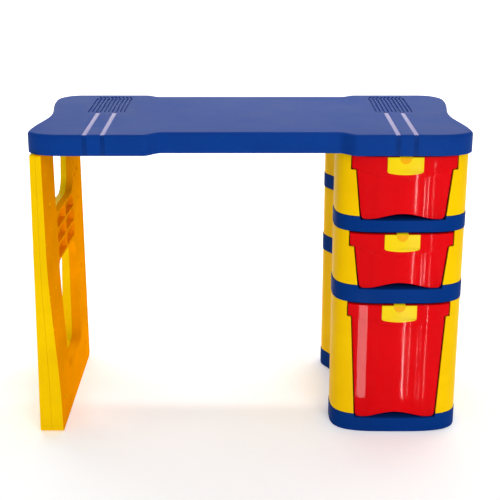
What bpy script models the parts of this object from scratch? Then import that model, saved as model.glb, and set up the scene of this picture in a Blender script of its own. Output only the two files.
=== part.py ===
"""Play desk for small children: a moulded desktop on a leg panel and a pedestal of three drawers.

Metres, +Z up. The front faces -Y and +X is to the right. The origin is on the floor, under the middle
of the whole desk. Each sub-part is one closed solid, and solids that touch keep GAP between them.
"""

import math

import bmesh
import bpy
from mathutils import Matrix, Vector

GAP = 0.0003
# How far a cutter runs past the face that it cuts.
PAST = 0.01

# Desktop: a moulded top plate with a skirt all round, open underneath.
DESK_WIDTH = 0.800
DESK_DEPTH = 0.390
SKIRT_HEIGHT = 0.038
TOP_PLATE = 0.0045
SKIRT_WALL = 0.004
TOP_FILLET = 0.006
FRONT_WING = 0.210
FRONT_BAY_RAMP = 0.031
FRONT_BAY_DEPTH = 0.022
BACK_WING = 0.185
BACK_BAY_RAMP = 0.030
BACK_BAY_DEPTH = 0.017
SIDE_NOTCH_DEPTH = 0.017
SIDE_NOTCH_MARGIN = 0.050
SIDE_NOTCH_MIDDLE = -0.006
BACK_TAPER = 0.004
FRONT_CORNER = (0.065, 0.042)
BACK_CORNER = (0.048, 0.052)
RIB_WALL = 0.003
RIB_DEPTH = 0.014
RIB_END_CLEARANCE = 0.010
RIBS_ACROSS = 2
RIBS_ALONG = 3

# Decoration of the top: two pairs of stripes and two grilles of blind slots.
STRIPE_WIDTH = 0.0065
STRIPE_SPACING = 0.032
STRIPE_DEPTH = 0.0012
STRIPE_END = -0.001
SLOT_COUNT = 10
SLOT_PITCH = 0.0077
SLOT_WIDTH = 0.0036
SLOT_DEPTH = 0.002
SLOT_START = 0.012
SLOT_BACK_MARGIN = 0.027

# Pedestal: base, three tiers of panels, and a shelf between tiers.
PEDESTAL_WIDTH = 0.245
PEDESTAL_FRONT_SETBACK = 0.011
PEDESTAL_BACK_SETBACK = 0.015
PEDESTAL_NOSE = 0.078
NOSE_POWER = 3.5
PEDESTAL_BACK_CORNER = 0.025
WAIST_DEPTH = 0.020
WAIST_FRONT_RAMP = 0.080
WAIST_BACK_RAMP = 0.050
BACK_LOBE = 0.034
BASE_HEIGHT = 0.035
LOWER_TIER = 0.229
LOWER_SHELF = 0.034
MIDDLE_TIER = 0.104
UPPER_SHELF = 0.029
UPPER_TIER = 0.116
BAND_WALL = 0.004
SHELF_PLATE = 0.0035
TRAY_DEPTH = 0.0065
BAND_PROUD = 0.001
BAND_EDGE = 0.001
PANEL_WALL = 0.0035
PANEL_FLANGE = 0.003
PEG = (0.010, 0.008, 0.007)
TAB = (0.007, 0.008, 0.008)
TAB_CLEARANCE = 0.0015
BACK_PANEL = 0.003
BACK_RETURN = 0.085
BACK_PANEL_LAP = 0.0145
RAIL_THICKNESS = 0.004
OPENING_FRAME = 0.021
TRAY_SIDE_MARGIN = 0.004
TRAY_BACK_MARGIN = 0.002
TUNNEL_BACK_MARGIN = 0.002
BASE_RIB_SPACING = 0.060

# Drawers: tapered bins that hang by their rims on the panels' rails.
RIM_CLEARANCE = 0.0033
FLANGE_WIDTH = 0.0063
FLANGE_THICKNESS = 0.004
BIN_TAPER = 0.012
BIN_WALL = 0.0028
BIN_SETBACK = 0.004
RIM_SETBACK = 0.001
RIM_BAND = 0.0045
RIM_END_HEIGHT = 0.024
RIM_MIDDLE_HEIGHT = 0.0425
DRAWER_TOP_GAP = 0.004
DRAWER_DIP = 0.0055
DRAWER_BACK_CLEARANCE = 0.004
ARCH_HEIGHT = 0.010
ARCH_HALF = 0.066
BIN_CORNER = 0.008
OPENING_CLEARANCE = 0.0018
BIN_CLEARANCE = 0.002

# Drawer handle: a plate clipped over the middle of the rim.
HANDLE_HALF = 0.0325
HANDLE_SIDE_HEIGHT = 0.029
HANDLE_MIDDLE_HEIGHT = 0.033
HANDLE_PLATE = 0.003
HOOK_HALF = 0.0105
HOOK_WALL = 0.002
HOOK_DROP = 0.012
BOSS_HEIGHT = 0.0125
BOSS_RELIEF = 0.0014
HANDLE_EDGE = 0.0008

# Leg panel: an outer and an inner moulded shell, screwed together.
LEG_FRONT_SETBACK = 0.008
LEG_BACK_SETBACK = 0.004
LEG_FOOT_OVERHANG = 0.004
LEG_TOP_INSET = 0.0065
LEG_BACK_TOP_INSET = 0.020
LEG_TOP_THICKNESS = 0.0202
LEG_FOOT_THICKNESS = 0.044
FLARE_BOTTOM = 0.030
FLARE_TOP = 0.360
LEG_WALL = 0.003
FRONT_POST = 0.107
BACK_POST = 0.097
UPPER_OPENING_BOTTOM = 0.407
LOWER_OPENING_TOP = 0.311
LOWER_OPENING_BOTTOM = 0.083
POCKET_RIB = 0.005
POCKET_FLOOR = 0.003
POCKET_COLUMNS = 2
POCKET_ROWS = 3
FOOT_CORNER = 0.010
UPPER_OPENING_CORNERS = (0.030, 0.012)
LOWER_OPENING_CORNERS = (0.022, 0.022, 0.050, 0.015)
POCKET_CORNER = 0.004
POCKET_BACK_CORNERS = (0.010, 0.018)
TENON_LENGTH = 0.060
TENON_INSET = 0.014
TENON_BACK_MARGIN = 0.010
SCREW_HEIGHTS = (0.050, 0.230, 0.440)

# One size of screw throughout.
SCREW_HEAD = 0.0038
SCREW_HEAD_HEIGHT = 0.0024
SCREW_SHANK = 0.0018
SCREW_LENGTH = 0.013
SCREW_SEAT = 0.006
BOSS_RADIUS = 0.0065

# Levels and places that follow from the sizes above.
LOWER_TIER_Z = BASE_HEIGHT
LOWER_SHELF_Z = LOWER_TIER_Z + LOWER_TIER
MIDDLE_TIER_Z = LOWER_SHELF_Z + LOWER_SHELF
UPPER_SHELF_Z = MIDDLE_TIER_Z + MIDDLE_TIER
UPPER_TIER_Z = UPPER_SHELF_Z + UPPER_SHELF
SKIRT_Z = UPPER_TIER_Z + UPPER_TIER
DESK_HEIGHT = SKIRT_Z + SKIRT_HEIGHT
PLATE_Z = DESK_HEIGHT - TOP_PLATE
DESK_X = LEG_FOOT_OVERHANG / 2
PEDESTAL_X = DESK_X + (DESK_WIDTH - PEDESTAL_WIDTH) / 2
FRONT = -DESK_DEPTH / 2
BACK = DESK_DEPTH / 2
PEDESTAL_FRONT = FRONT + PEDESTAL_FRONT_SETBACK
PEDESTAL_BACK = BACK - PEDESTAL_BACK_SETBACK
PEDESTAL_HALF = PEDESTAL_WIDTH / 2
RIM_HALF = PEDESTAL_HALF - WAIST_DEPTH - BAND_PROUD - PANEL_WALL - RIM_CLEARANCE
BIN_TOP_HALF = RIM_HALF - FLANGE_WIDTH
BIN_BOTTOM_HALF = BIN_TOP_HALF - BIN_TAPER
TUNNEL_HALF = RIM_HALF + OPENING_CLEARANCE
BACK_PANEL_FACE = PEDESTAL_BACK - BAND_PROUD - PANEL_WALL - GAP - BACK_PANEL
DRAWER_BACK = BACK_PANEL_FACE - DRAWER_BACK_CLEARANCE
PEG_X = (TUNNEL_HALF + PEDESTAL_HALF - BAND_PROUD - PANEL_WALL) / 2
PEG_PLACES = (PEDESTAL_FRONT + PEDESTAL_NOSE, PEDESTAL_BACK - BACK_LOBE)
FRONT_WING_START = DESK_WIDTH / 2 - FRONT_WING
FRONT_BAY_HALF = FRONT_WING_START - FRONT_BAY_RAMP
BACK_WING_START = DESK_WIDTH / 2 - BACK_WING
BACK_BAY_HALF = BACK_WING_START - BACK_BAY_RAMP
SIDE_NOTCH_REACH = DESK_DEPTH / 2 - SIDE_NOTCH_MARGIN
SLOT_END = BACK - SLOT_BACK_MARGIN
LEG_FRONT = FRONT + LEG_FRONT_SETBACK
LEG_BACK = BACK - LEG_BACK_SETBACK
LEG_TOP = SKIRT_Z - GAP

BLUE = (0.010, 0.060, 0.310)
YELLOW = (1.0, 0.620, 0.0)
LEMON = (1.0, 0.780, 0.0)
RED = (0.700, 0.002, 0.008)
STEEL = (0.560, 0.560, 0.580)

PLANES = {
    "XY": Matrix.Identity(4),
    "XZ": Matrix(((1, 0, 0, 0), (0, 0, -1, 0), (0, 1, 0, 0), (0, 0, 0, 1))),
    "YZ": Matrix(((0, 0, 1, 0), (1, 0, 0, 0), (0, 1, 0, 0), (0, 0, 0, 1))),
}
NORMALS = {"XY": Vector((0, 0, 1)), "XZ": Vector((0, 1, 0)), "YZ": Vector((1, 0, 0))}


# ---------------------------------------------------------------- flat outlines


def smooth(t):
    """Rises from 0 to 1 with level ends."""
    t = min(max(t, 0.0), 1.0)
    return t * t * (3 - 2 * t)


def between(start, end, steps):
    """Evenly spaced values, both ends included."""
    return [start + (end - start) * i / steps for i in range(steps + 1)]


def arc(centre, radii, first, last, steps=6):
    """Points on an ellipse between two angles in degrees."""
    angles = [math.radians(angle) for angle in between(first, last, steps)]
    return [(centre[0] + radii[0] * math.cos(a), centre[1] + radii[1] * math.sin(a)) for a in angles]


def s_curve(start, end, steps=6):
    """Points from start to end, level at both ends."""
    return [
        (start[0] + (end[0] - start[0]) * t, start[1] + (end[1] - start[1]) * smooth(t))
        for t in between(0, 1, steps)
    ]


def tidy(points, least=1e-5):
    """The closed outline without repeated points."""
    kept = []
    for point in points:
        if not kept or math.dist(point, kept[-1]) > least:
            kept.append(point)
    if math.dist(kept[0], kept[-1]) <= least:
        kept.pop()
    return kept


def mirrored(right):
    """A closed outline from its right half, which runs from the front middle to the back middle."""
    return tidy(right + [(-x, y) for x, y in reversed(right)])


def offset(points, inset):
    """The closed outline moved inwards by inset, or outwards where it is negative."""
    count = len(points)
    area = sum(
        points[i][0] * points[(i + 1) % count][1] - points[(i + 1) % count][0] * points[i][1]
        for i in range(count)
    )
    turn = inset if area > 0 else -inset
    moved = []
    for i in range(count):
        here = Vector(points[i])
        before = (here - Vector(points[i - 1])).normalized()
        after = (Vector(points[(i + 1) % count]) - here).normalized()
        normal_before = Vector((-before.y, before.x))
        normal_after = Vector((-after.y, after.x))
        middle = (normal_before + normal_after).normalized()
        moved.append(tuple(here + middle * (turn / max(middle.dot(normal_after), 0.5))))
    return moved


def rounded(corners, radii, steps=4):
    """A closed polygon with each corner rounded to its own radius."""
    points = []
    count = len(corners)
    for i, radius in enumerate(radii):
        here = Vector(corners[i])
        to_last = (Vector(corners[i - 1]) - here).normalized()
        to_next = (Vector(corners[(i + 1) % count]) - here).normalized()
        half = to_last.angle(to_next) / 2
        reach = radius / math.tan(half)
        middle = here + (to_last + to_next).normalized() * (radius / math.sin(half))
        start = here + to_last * reach - middle
        end = here + to_next * reach - middle
        for t in between(0, 1, steps):
            points.append(tuple(middle + (start * (1 - t) + end * t).normalized() * radius))
    return tidy(points)


def rectangle(low, high):
    return [(low[0], low[1]), (high[0], low[1]), (high[0], high[1]), (low[0], high[1])]


def desk_side_inset(y):
    """How far the desktop's side is drawn in at this depth."""
    reach = min(abs(y - SIDE_NOTCH_MIDDLE) / SIDE_NOTCH_REACH, 1.0)
    notch = SIDE_NOTCH_DEPTH * (1 + math.cos(math.pi * reach)) / 2
    return notch + BACK_TAPER * smooth((y - SIDE_NOTCH_MIDDLE) / SIDE_NOTCH_REACH)


def desk_outline():
    """The dog-bone shape of the desktop, seen from above."""
    half = DESK_WIDTH / 2
    back_half = half - BACK_TAPER
    right = [(0.0, FRONT + FRONT_BAY_DEPTH)]
    right += s_curve((FRONT_BAY_HALF, FRONT + FRONT_BAY_DEPTH), (FRONT_WING_START, FRONT))
    corner = (half - FRONT_CORNER[0], FRONT + FRONT_CORNER[1])
    right += arc(corner, FRONT_CORNER, -90, 0)
    for y in between(FRONT + FRONT_CORNER[1], BACK - BACK_CORNER[1], 12):
        right.append((half - desk_side_inset(y), y))
    corner = (back_half - BACK_CORNER[0], BACK - BACK_CORNER[1])
    right += arc(corner, BACK_CORNER, 0, 90)
    right += s_curve((BACK_WING_START, BACK), (BACK_BAY_HALF, BACK - BACK_BAY_DEPTH))
    right.append((0.0, BACK - BACK_BAY_DEPTH))
    return mirrored(right)


def nose_line(x, setback=0.0):
    """Depth of the pedestal's bowed front at this distance from its middle."""
    share = min(abs(x) / PEDESTAL_HALF, 1.0) ** NOSE_POWER
    return PEDESTAL_FRONT + setback + PEDESTAL_NOSE * (1 - (1 - share) ** (1 / NOSE_POWER))


def pedestal_outline():
    """The pedestal seen from above: bowed nose, a waist in each side and rounded back corners."""
    right = []
    for angle in between(0, 90, 14):
        t = math.radians(angle)
        across = PEDESTAL_HALF * math.sin(t) ** (2 / NOSE_POWER)
        right.append((across, PEDESTAL_FRONT + PEDESTAL_NOSE * (1 - max(math.cos(t), 0) ** (2 / NOSE_POWER))))
    ramp_in = PEDESTAL_FRONT + PEDESTAL_NOSE
    ramp_out = PEDESTAL_BACK - BACK_LOBE
    for t in between(0, 1, 7):
        right.append((PEDESTAL_HALF - WAIST_DEPTH * smooth(t), ramp_in + WAIST_FRONT_RAMP * t))
    for t in between(1, 0, 7):
        right.append((PEDESTAL_HALF - WAIST_DEPTH * smooth(t), ramp_out - WAIST_BACK_RAMP * t))
    corner = (PEDESTAL_HALF - PEDESTAL_BACK_CORNER, PEDESTAL_BACK - PEDESTAL_BACK_CORNER)
    right += arc(corner, (PEDESTAL_BACK_CORNER, PEDESTAL_BACK_CORNER), 0, 90, 6)
    right.append((0.0, PEDESTAL_BACK))
    return mirrored(right)


def side_path(inset, side, front_x, back_x):
    """The pedestal's outline on one side, moved in, from front_x on the front to back_x on the back."""
    path = [(x, y) for x, y in offset(pedestal_outline(), inset) if x > (front_x if y < 0 else back_x)]
    path = [(front_x, path[0][1])] + path + [(back_x, path[-1][1])]
    return [(side * x, y) for x, y in path]


# ---------------------------------------------------------------- Blender objects


def clear_scene():
    for item in list(bpy.data.objects):
        bpy.data.objects.remove(item, do_unlink=True)


def new_collection(name):
    group = bpy.data.collections.new(name)
    bpy.context.scene.collection.children.link(group)
    return group


def plastic(name, colour, roughness=0.35, metallic=0.0):
    material = bpy.data.materials.new(name)
    material.use_nodes = True
    shader = material.node_tree.nodes["Principled BSDF"]
    shader.inputs["Base Color"].default_value = (*colour, 1)
    shader.inputs["Roughness"].default_value = roughness
    shader.inputs["Metallic"].default_value = metallic
    material.diffuse_color = (*colour, 1)
    return material


def flat_solid(outlines, low, high, plane="XY"):
    """Mesh of flat outlines made solid between two levels. Outlines inside another are its holes."""
    curve = bpy.data.curves.new("outline", "CURVE")
    curve.dimensions = "2D"
    curve.fill_mode = "BOTH"
    curve.extrude = (high - low) / 2
    for outline in outlines:
        spline = curve.splines.new("POLY")
        spline.points.add(len(outline) - 1)
        for point, (u, v) in zip(spline.points, outline):
            point.co = (u, v, 0, 1)
        spline.use_cyclic_u = True
    guide = bpy.data.objects.new("outline", curve)
    mesh = bpy.data.meshes.new_from_object(guide)
    bpy.data.objects.remove(guide)
    bpy.data.curves.remove(curve)
    mesh.transform(Matrix.Translation(NORMALS[plane] * (low + high) / 2) @ PLANES[plane])
    return cleaned(mesh)


def cleaned(mesh):
    """The mesh with its caps welded and its faces pointing out."""
    shape = bmesh.new()
    shape.from_mesh(mesh)
    bmesh.ops.remove_doubles(shape, verts=shape.verts, dist=1e-6)
    bmesh.ops.recalc_face_normals(shape, faces=shape.faces)
    shape.to_mesh(mesh)
    shape.free()
    return mesh


def box(low, high):
    mesh = bpy.data.meshes.new("box")
    shape = bmesh.new()
    size = [high[i] - low[i] for i in range(3)]
    middle = [(high[i] + low[i]) / 2 for i in range(3)]
    bmesh.ops.create_cube(shape, size=1, matrix=Matrix.Translation(middle) @ Matrix.Diagonal((*size, 1)))
    shape.to_mesh(mesh)
    shape.free()
    return mesh


def rod(start, end, radius, segments=12):
    """Cylinder between two points."""
    start, end = Vector(start), Vector(end)
    mesh = bpy.data.meshes.new("rod")
    shape = bmesh.new()
    turn = (end - start).to_track_quat("Z", "Y").to_matrix().to_4x4()
    place = Matrix.Translation((start + end) / 2) @ turn
    length = (end - start).length
    bmesh.ops.create_cone(
        shape, cap_ends=True, segments=segments, radius1=radius, radius2=radius, depth=length, matrix=place
    )
    shape.to_mesh(mesh)
    shape.free()
    return mesh


class Workshop:
    """Holds the collections and puts objects into them."""

    def __init__(self, name):
        self.parts = new_collection(name)
        self.tools = new_collection("cutters")

    def part(self, name, mesh, material, place=(0, 0, 0), parent=None):
        mesh.name = name
        mesh.materials.clear()
        mesh.materials.append(material)
        item = bpy.data.objects.new(name, mesh)
        item.location = place
        if parent:
            item.parent = parent
        self.parts.objects.link(item)
        return item

    def shape(self, owner, mesh):
        """A helper shape that stays with its owner and is left out of renders."""
        helper = bpy.data.objects.new(f"{owner.name}_tool", mesh)
        helper.parent = owner
        helper.hide_render = True
        helper.display_type = "WIRE"
        self.tools.objects.link(helper)
        return helper

    def apply(self, owner, mesh, operation):
        """Adds a Boolean of this mesh to the owner, and gives back the helper object."""
        helper = mesh if isinstance(mesh, bpy.types.Object) else self.shape(owner, mesh)
        modifier = owner.modifiers.new(operation.lower(), "BOOLEAN")
        modifier.operation = operation
        modifier.object = helper
        return helper

    def join(self, owner, mesh):
        return self.apply(owner, mesh, "UNION")

    def cut(self, owner, mesh):
        return self.apply(owner, mesh, "DIFFERENCE")

    def keep(self, owner, mesh):
        return self.apply(owner, mesh, "INTERSECT")


def smooth_shading(item, angle=35):
    item.data.shade_smooth()
    item.data.set_sharp_from_angle(angle=math.radians(angle))


# ---------------------------------------------------------------- screws


def screw_mesh():
    """Pan head screw standing on its seat at Z 0, with its shank towards +Z."""
    profile = [
        (0.0, -SCREW_HEAD_HEIGHT),
        (SCREW_HEAD * 0.7, -SCREW_HEAD_HEIGHT),
        (SCREW_HEAD, -SCREW_HEAD_HEIGHT * 0.45),
        (SCREW_HEAD, 0.0),
        (SCREW_SHANK, 0.0),
        (SCREW_SHANK, SCREW_LENGTH - SCREW_SHANK),
        (0.0, SCREW_LENGTH),
    ]
    mesh = bpy.data.meshes.new("screw")
    shape = bmesh.new()
    corners = [shape.verts.new((radius, 0, height)) for radius, height in reversed(profile)]
    for first, second in zip(corners, corners[1:]):
        shape.edges.new((first, second))
    shape.to_mesh(mesh)
    shape.free()
    return mesh


def add_screw(shop, name, mesh, material, place, turn=(0, 0, 0)):
    item = shop.part(name, mesh, material, place)
    item.rotation_euler = turn
    lathe = item.modifiers.new("turned", "SCREW")
    lathe.steps = 10
    lathe.render_steps = 10
    lathe.use_merge_vertices = True
    lathe.merge_threshold = 0.00005
    return item


# ---------------------------------------------------------------- desktop


def boss_places():
    """Where the pedestal is screwed to the desktop, from the pedestal's middle."""
    return [(side * PEG_X, y) for side in (-1, 1) for y in PEG_PLACES]


def make_desktop(shop, material):
    outline = desk_outline()
    top = shop.part("desktop", flat_solid([outline], SKIRT_Z, DESK_HEIGHT), material, (DESK_X, 0, 0))
    weights = top.data.attributes.new("bevel_weight_edge", "FLOAT", "EDGE")
    for edge in top.data.edges:
        heights = [top.data.vertices[i].co.z for i in edge.vertices]
        weights.data[edge.index].value = 1.0 if min(heights) > DESK_HEIGHT - GAP else 0.0
    fillet = top.modifiers.new("top fillet", "BEVEL")
    fillet.limit_method = "WEIGHT"
    fillet.width = TOP_FILLET
    fillet.segments = 2
    shop.cut(top, flat_solid([offset(outline, SKIRT_WALL)], SKIRT_Z - PAST, PLATE_Z))
    rib_low = PLATE_Z - RIB_DEPTH
    front = FRONT + FRONT_BAY_DEPTH + SKIRT_WALL / 2
    back = BACK - BACK_BAY_DEPTH - SKIRT_WALL / 2
    left = -DESK_WIDTH / 2 + SIDE_NOTCH_DEPTH + SKIRT_WALL / 2
    right = PEDESTAL_X - DESK_X - PEDESTAL_HALF - RIB_END_CLEARANCE
    for x in between(left, right, RIBS_ALONG + 1)[1:-1]:
        shop.join(top, box((x - RIB_WALL / 2, front, rib_low), (x + RIB_WALL / 2, back, PLATE_Z + GAP)))
    for y in between(front, back, RIBS_ACROSS + 1)[1:-1]:
        shop.join(top, box((left, y - RIB_WALL / 2, rib_low), (right, y + RIB_WALL / 2, PLATE_Z + GAP)))
    for x, y in boss_places():
        x += PEDESTAL_X - DESK_X
        shop.join(top, rod((x, y, SKIRT_Z), (x, y, PLATE_Z + GAP), BOSS_RADIUS))
        shop.cut(top, rod((x, y, SKIRT_Z - PAST), (x, y, PLATE_Z - 2 * GAP), SCREW_SHANK + GAP))
    for low, high in tenons():
        wall = Vector((RIB_WALL + GAP, RIB_WALL + GAP, 0))
        space = Vector((GAP, GAP, 0))
        base = Vector((0, 0, SKIRT_Z - low.z))
        shop.join(top, box(low - wall + base, high + wall + Vector((0, 0, 2 * GAP))))
        shop.cut(top, box(low - space - base, high + space + Vector((0, 0, GAP / 2))))
        hole = tenon_screw(low, high)
        reach = Vector((SCREW_LENGTH + GAP, 0, 0))
        shop.cut(top, rod(hole + reach, hole - reach, SCREW_SHANK + GAP))
    cut_decoration(shop, top)
    smooth_shading(top)
    return top


def cut_decoration(shop, top):
    """The stripes that run back from the front edge and down the skirt, and the blind slots."""
    middle = PEDESTAL_X - DESK_X
    slot_span = (SLOT_COUNT - 1) * SLOT_PITCH
    stripes, grooves, slots = [], [], []
    for side in (-1, 1):
        for step in (-0.5, 0.5):
            left = side * middle + step * STRIPE_SPACING - STRIPE_WIDTH / 2
            right = left + STRIPE_WIDTH
            stripes.append(rectangle((left, FRONT + TOP_FILLET / 2), (right, STRIPE_END)))
            grooves.append(rectangle((left, FRONT - PAST), (right, FRONT + STRIPE_DEPTH)))
        for i in range(SLOT_COUNT):
            left = side * middle - (slot_span + SLOT_WIDTH) / 2 + i * SLOT_PITCH
            slots.append(rectangle((left, SLOT_START), (left + SLOT_WIDTH, SLOT_END)))
    shop.cut(top, flat_solid(stripes, DESK_HEIGHT - STRIPE_DEPTH, DESK_HEIGHT + PAST))
    shop.cut(top, flat_solid(grooves, SKIRT_Z - PAST, DESK_HEIGHT - TOP_FILLET * 0.55))
    shop.cut(top, flat_solid(slots, DESK_HEIGHT - SLOT_DEPTH, DESK_HEIGHT + PAST))


# ---------------------------------------------------------------- leg panel


def leg_outer_x(y, z):
    """Outer face of the leg, from the desk's middle. It leans out towards the foot."""
    foot = DESK_WIDTH / 2 + LEG_FOOT_OVERHANG
    share = (y - LEG_FRONT) / (LEG_BACK - LEG_FRONT)
    inset = LEG_TOP_INSET + (LEG_BACK_TOP_INSET - LEG_TOP_INSET) * share + LEG_FOOT_OVERHANG
    return -foot + inset * min(max(z / SKIRT_Z, 0), 1)


def leg_inner_x(y, z):
    """Inner face of the leg. Its front edge flares inwards over the lower half."""
    foot = -(DESK_WIDTH / 2 + LEG_FOOT_OVERHANG) + LEG_FOOT_THICKNESS
    top = -DESK_WIDTH / 2 + LEG_TOP_INSET + LEG_TOP_THICKNESS
    share = (y - LEG_FRONT) / (LEG_BACK - LEG_FRONT)
    front = foot + (top - foot) * smooth((z - FLARE_BOTTOM) / (FLARE_TOP - FLARE_BOTTOM))
    return front + (foot - front) * share


def leg_split_x(y, z):
    """The joint between the leg's two shells."""
    return (leg_outer_x(y, z) + leg_inner_x(y, z)) / 2


def moved(surface, distance):
    """The same surface, further along X."""
    return lambda y, z: surface(y, z) + distance


def leg_slab(near, far):
    """Solid between two surfaces that give X at each depth and height, past the leg's edges."""
    shape = bmesh.new()
    bmesh.ops.create_grid(shape, x_segments=3, y_segments=10, size=0.5)
    bmesh.ops.triangulate(shape, faces=shape.faces)
    for vert in shape.verts:
        y = LEG_FRONT - PAST + (vert.co.x + 0.5) * (LEG_BACK - LEG_FRONT + 2 * PAST)
        z = -PAST + (vert.co.y + 0.5) * (LEG_TOP + 2 * PAST)
        vert.co = (near(y, z), y, z)
    grown = bmesh.ops.extrude_face_region(shape, geom=list(shape.faces))
    for vert in grown["geom"]:
        if isinstance(vert, bmesh.types.BMVert):
            vert.co.x = far(vert.co.y, vert.co.z)
    bmesh.ops.recalc_face_normals(shape, faces=shape.faces)
    mesh = bpy.data.meshes.new("slab")
    shape.to_mesh(mesh)
    shape.free()
    return mesh


def leg_outlines(inset=0.0):
    """Side view of the leg in Y and Z: two posts, a web between them and a foot rail."""
    front_post = LEG_FRONT + FRONT_POST
    back_post = LEG_BACK - BACK_POST
    tip = LEG_WALL + 0.001
    edge = rounded(
        [
            (LEG_FRONT, 0.0),
            (LEG_BACK, 0.0),
            (LEG_BACK, LEG_TOP),
            (back_post, LEG_TOP),
            (back_post, UPPER_OPENING_BOTTOM),
            (front_post, UPPER_OPENING_BOTTOM),
            (front_post, LEG_TOP),
            (LEG_FRONT, LEG_TOP),
        ],
        [FOOT_CORNER, FOOT_CORNER, tip, tip, *UPPER_OPENING_CORNERS, tip, tip],
    )
    window = rounded(
        [
            (front_post, LOWER_OPENING_BOTTOM),
            (back_post, LOWER_OPENING_BOTTOM),
            (back_post, LOWER_OPENING_TOP),
            (front_post, LOWER_OPENING_TOP),
        ],
        LOWER_OPENING_CORNERS,
    )
    return [offset(edge, inset), offset(window, -inset)]


def leg_screw_places():
    """Depth and height of each screw that holds the shells together."""
    depths = (LEG_FRONT + FRONT_POST / 2, LEG_BACK - BACK_POST / 2)
    return [(y, z) for y in depths for z in SCREW_HEIGHTS]


def tenons():
    """Boxes of the two tenons on the inner shell, one on each post, from the desk's middle."""
    boxes = []
    for start in (LEG_FRONT + TENON_INSET, LEG_BACK - TENON_INSET - TENON_LENGTH - TENON_BACK_MARGIN):
        end = start + TENON_LENGTH
        left = max(leg_split_x(y, LEG_TOP) for y in (start, end)) + 2 * GAP
        right = min(leg_inner_x(y, LEG_TOP) for y in (start, end)) - 2 * GAP
        boxes.append((Vector((left, start, LEG_TOP - LEG_WALL)), Vector((right, end, PLATE_Z - GAP))))
    return boxes


def tenon_screw(low, high):
    """Seat of the screw that goes through a tenon and its socket, from the desk's middle."""
    seat = high.x + 2 * GAP + RIB_WALL
    return Vector((seat, (low.y + high.y) / 2, (SKIRT_Z + PLATE_Z) / 2))


def web_zone(margin):
    """Outline of the ribbed web between the posts, grown by a margin."""
    low = (LEG_FRONT + FRONT_POST - margin, LOWER_OPENING_TOP - margin)
    return rectangle(low, (LEG_BACK - BACK_POST + margin, UPPER_OPENING_BOTTOM + margin))


def pocket_outlines():
    """Shallow pockets in rows and columns over the web."""
    low_y = LEG_FRONT + FRONT_POST + POCKET_RIB
    high_y = LEG_BACK - BACK_POST - POCKET_RIB
    low_z = LOWER_OPENING_TOP + POCKET_RIB
    high_z = UPPER_OPENING_BOTTOM - POCKET_RIB
    width = (high_y - low_y + POCKET_RIB) / POCKET_COLUMNS
    height = (high_z - low_z + POCKET_RIB) / POCKET_ROWS
    pockets = []
    for column in range(POCKET_COLUMNS):
        for row in range(POCKET_ROWS):
            y, z = low_y + column * width, low_z + row * height
            last = column == POCKET_COLUMNS - 1
            radii = [POCKET_CORNER] * 4
            if last and row == 0:
                radii[1] = POCKET_BACK_CORNERS[0]
            if last and row == POCKET_ROWS - 1:
                radii[2] = POCKET_BACK_CORNERS[1]
            corners = rectangle((y, z), (y + width - POCKET_RIB, z + height - POCKET_RIB))
            pockets.append(rounded(corners, radii, 3))
    return pockets


def make_leg(shop, material):
    place = (DESK_X, 0, 0)
    outer = shop.part("leg_outer_shell", leg_slab(leg_outer_x, moved(leg_split_x, -GAP / 2)), material, place)
    inner = shop.part("leg_inner_shell", leg_slab(moved(leg_split_x, GAP / 2), leg_inner_x), material, place)
    span = (-DESK_WIDTH, 0)
    for shell in (outer, inner):
        shop.keep(shell, flat_solid(leg_outlines(), *span, "YZ"))
    hollow = shop.shape(outer, leg_slab(moved(leg_outer_x, LEG_WALL), moved(leg_split_x, LEG_WALL)))
    shop.keep(hollow, flat_solid(leg_outlines(LEG_WALL), *span, "YZ"))
    shop.cut(outer, hollow)
    hollow = shop.shape(inner, leg_slab(moved(leg_split_x, -LEG_WALL), moved(leg_inner_x, -LEG_WALL)))
    shop.keep(hollow, flat_solid(leg_outlines(LEG_WALL), *span, "YZ"))
    shop.cut(hollow, flat_solid([web_zone(LEG_WALL)], *span, "YZ"))
    shop.cut(inner, hollow)
    pockets = shop.shape(inner, leg_slab(moved(leg_split_x, POCKET_FLOOR), moved(leg_inner_x, PAST)))
    shop.keep(pockets, flat_solid(pocket_outlines(), *span, "YZ"))
    shop.cut(inner, pockets)
    for low, high in tenons():
        shop.join(inner, box(low, high))
        seat = tenon_screw(low, high)
        shop.cut(inner, rod(seat, seat - Vector((SCREW_LENGTH + GAP, 0, 0)), SCREW_SHANK + GAP))
    for y, z in leg_screw_places():
        outside, split, inside = leg_outer_x(y, z), leg_split_x(y, z), leg_inner_x(y, z)
        shop.join(outer, rod((outside + LEG_WALL / 2, y, z), (split - GAP, y, z), BOSS_RADIUS))
        shop.join(inner, rod((split + GAP, y, z), (inside - LEG_WALL / 2, y, z), BOSS_RADIUS))
        seat = split + SCREW_SEAT
        shop.cut(inner, rod((seat, y, z), (inside + PAST, y, z), SCREW_HEAD + 2 * GAP))
        tip = seat - SCREW_LENGTH - GAP
        shop.cut(inner, rod((tip, y, z), (seat + GAP, y, z), SCREW_SHANK + GAP))
        shop.cut(outer, rod((tip, y, z), (seat + GAP, y, z), SCREW_SHANK + GAP))
    smooth_shading(outer)
    smooth_shading(inner)


def add_leg_screws(shop, mesh, material):
    towards_left = (0, -math.pi / 2, 0)
    for count, (y, z) in enumerate(leg_screw_places(), 1):
        place = (DESK_X + leg_split_x(y, z) + SCREW_SEAT + GAP, y, z)
        add_screw(shop, f"leg_shell_screw_{count}", mesh, material, place, towards_left)
    for where, (low, high) in zip(("front", "rear"), tenons()):
        place = tenon_screw(low, high) + Vector((DESK_X + GAP, 0, 0))
        add_screw(shop, f"leg_{where}_fixing_screw", mesh, material, place, towards_left)


# ---------------------------------------------------------------- pedestal


def rim_top(height):
    return height - DRAWER_TOP_GAP


def rail_top(height):
    return rim_top(height) - FLANGE_THICKNESS - GAP


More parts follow.
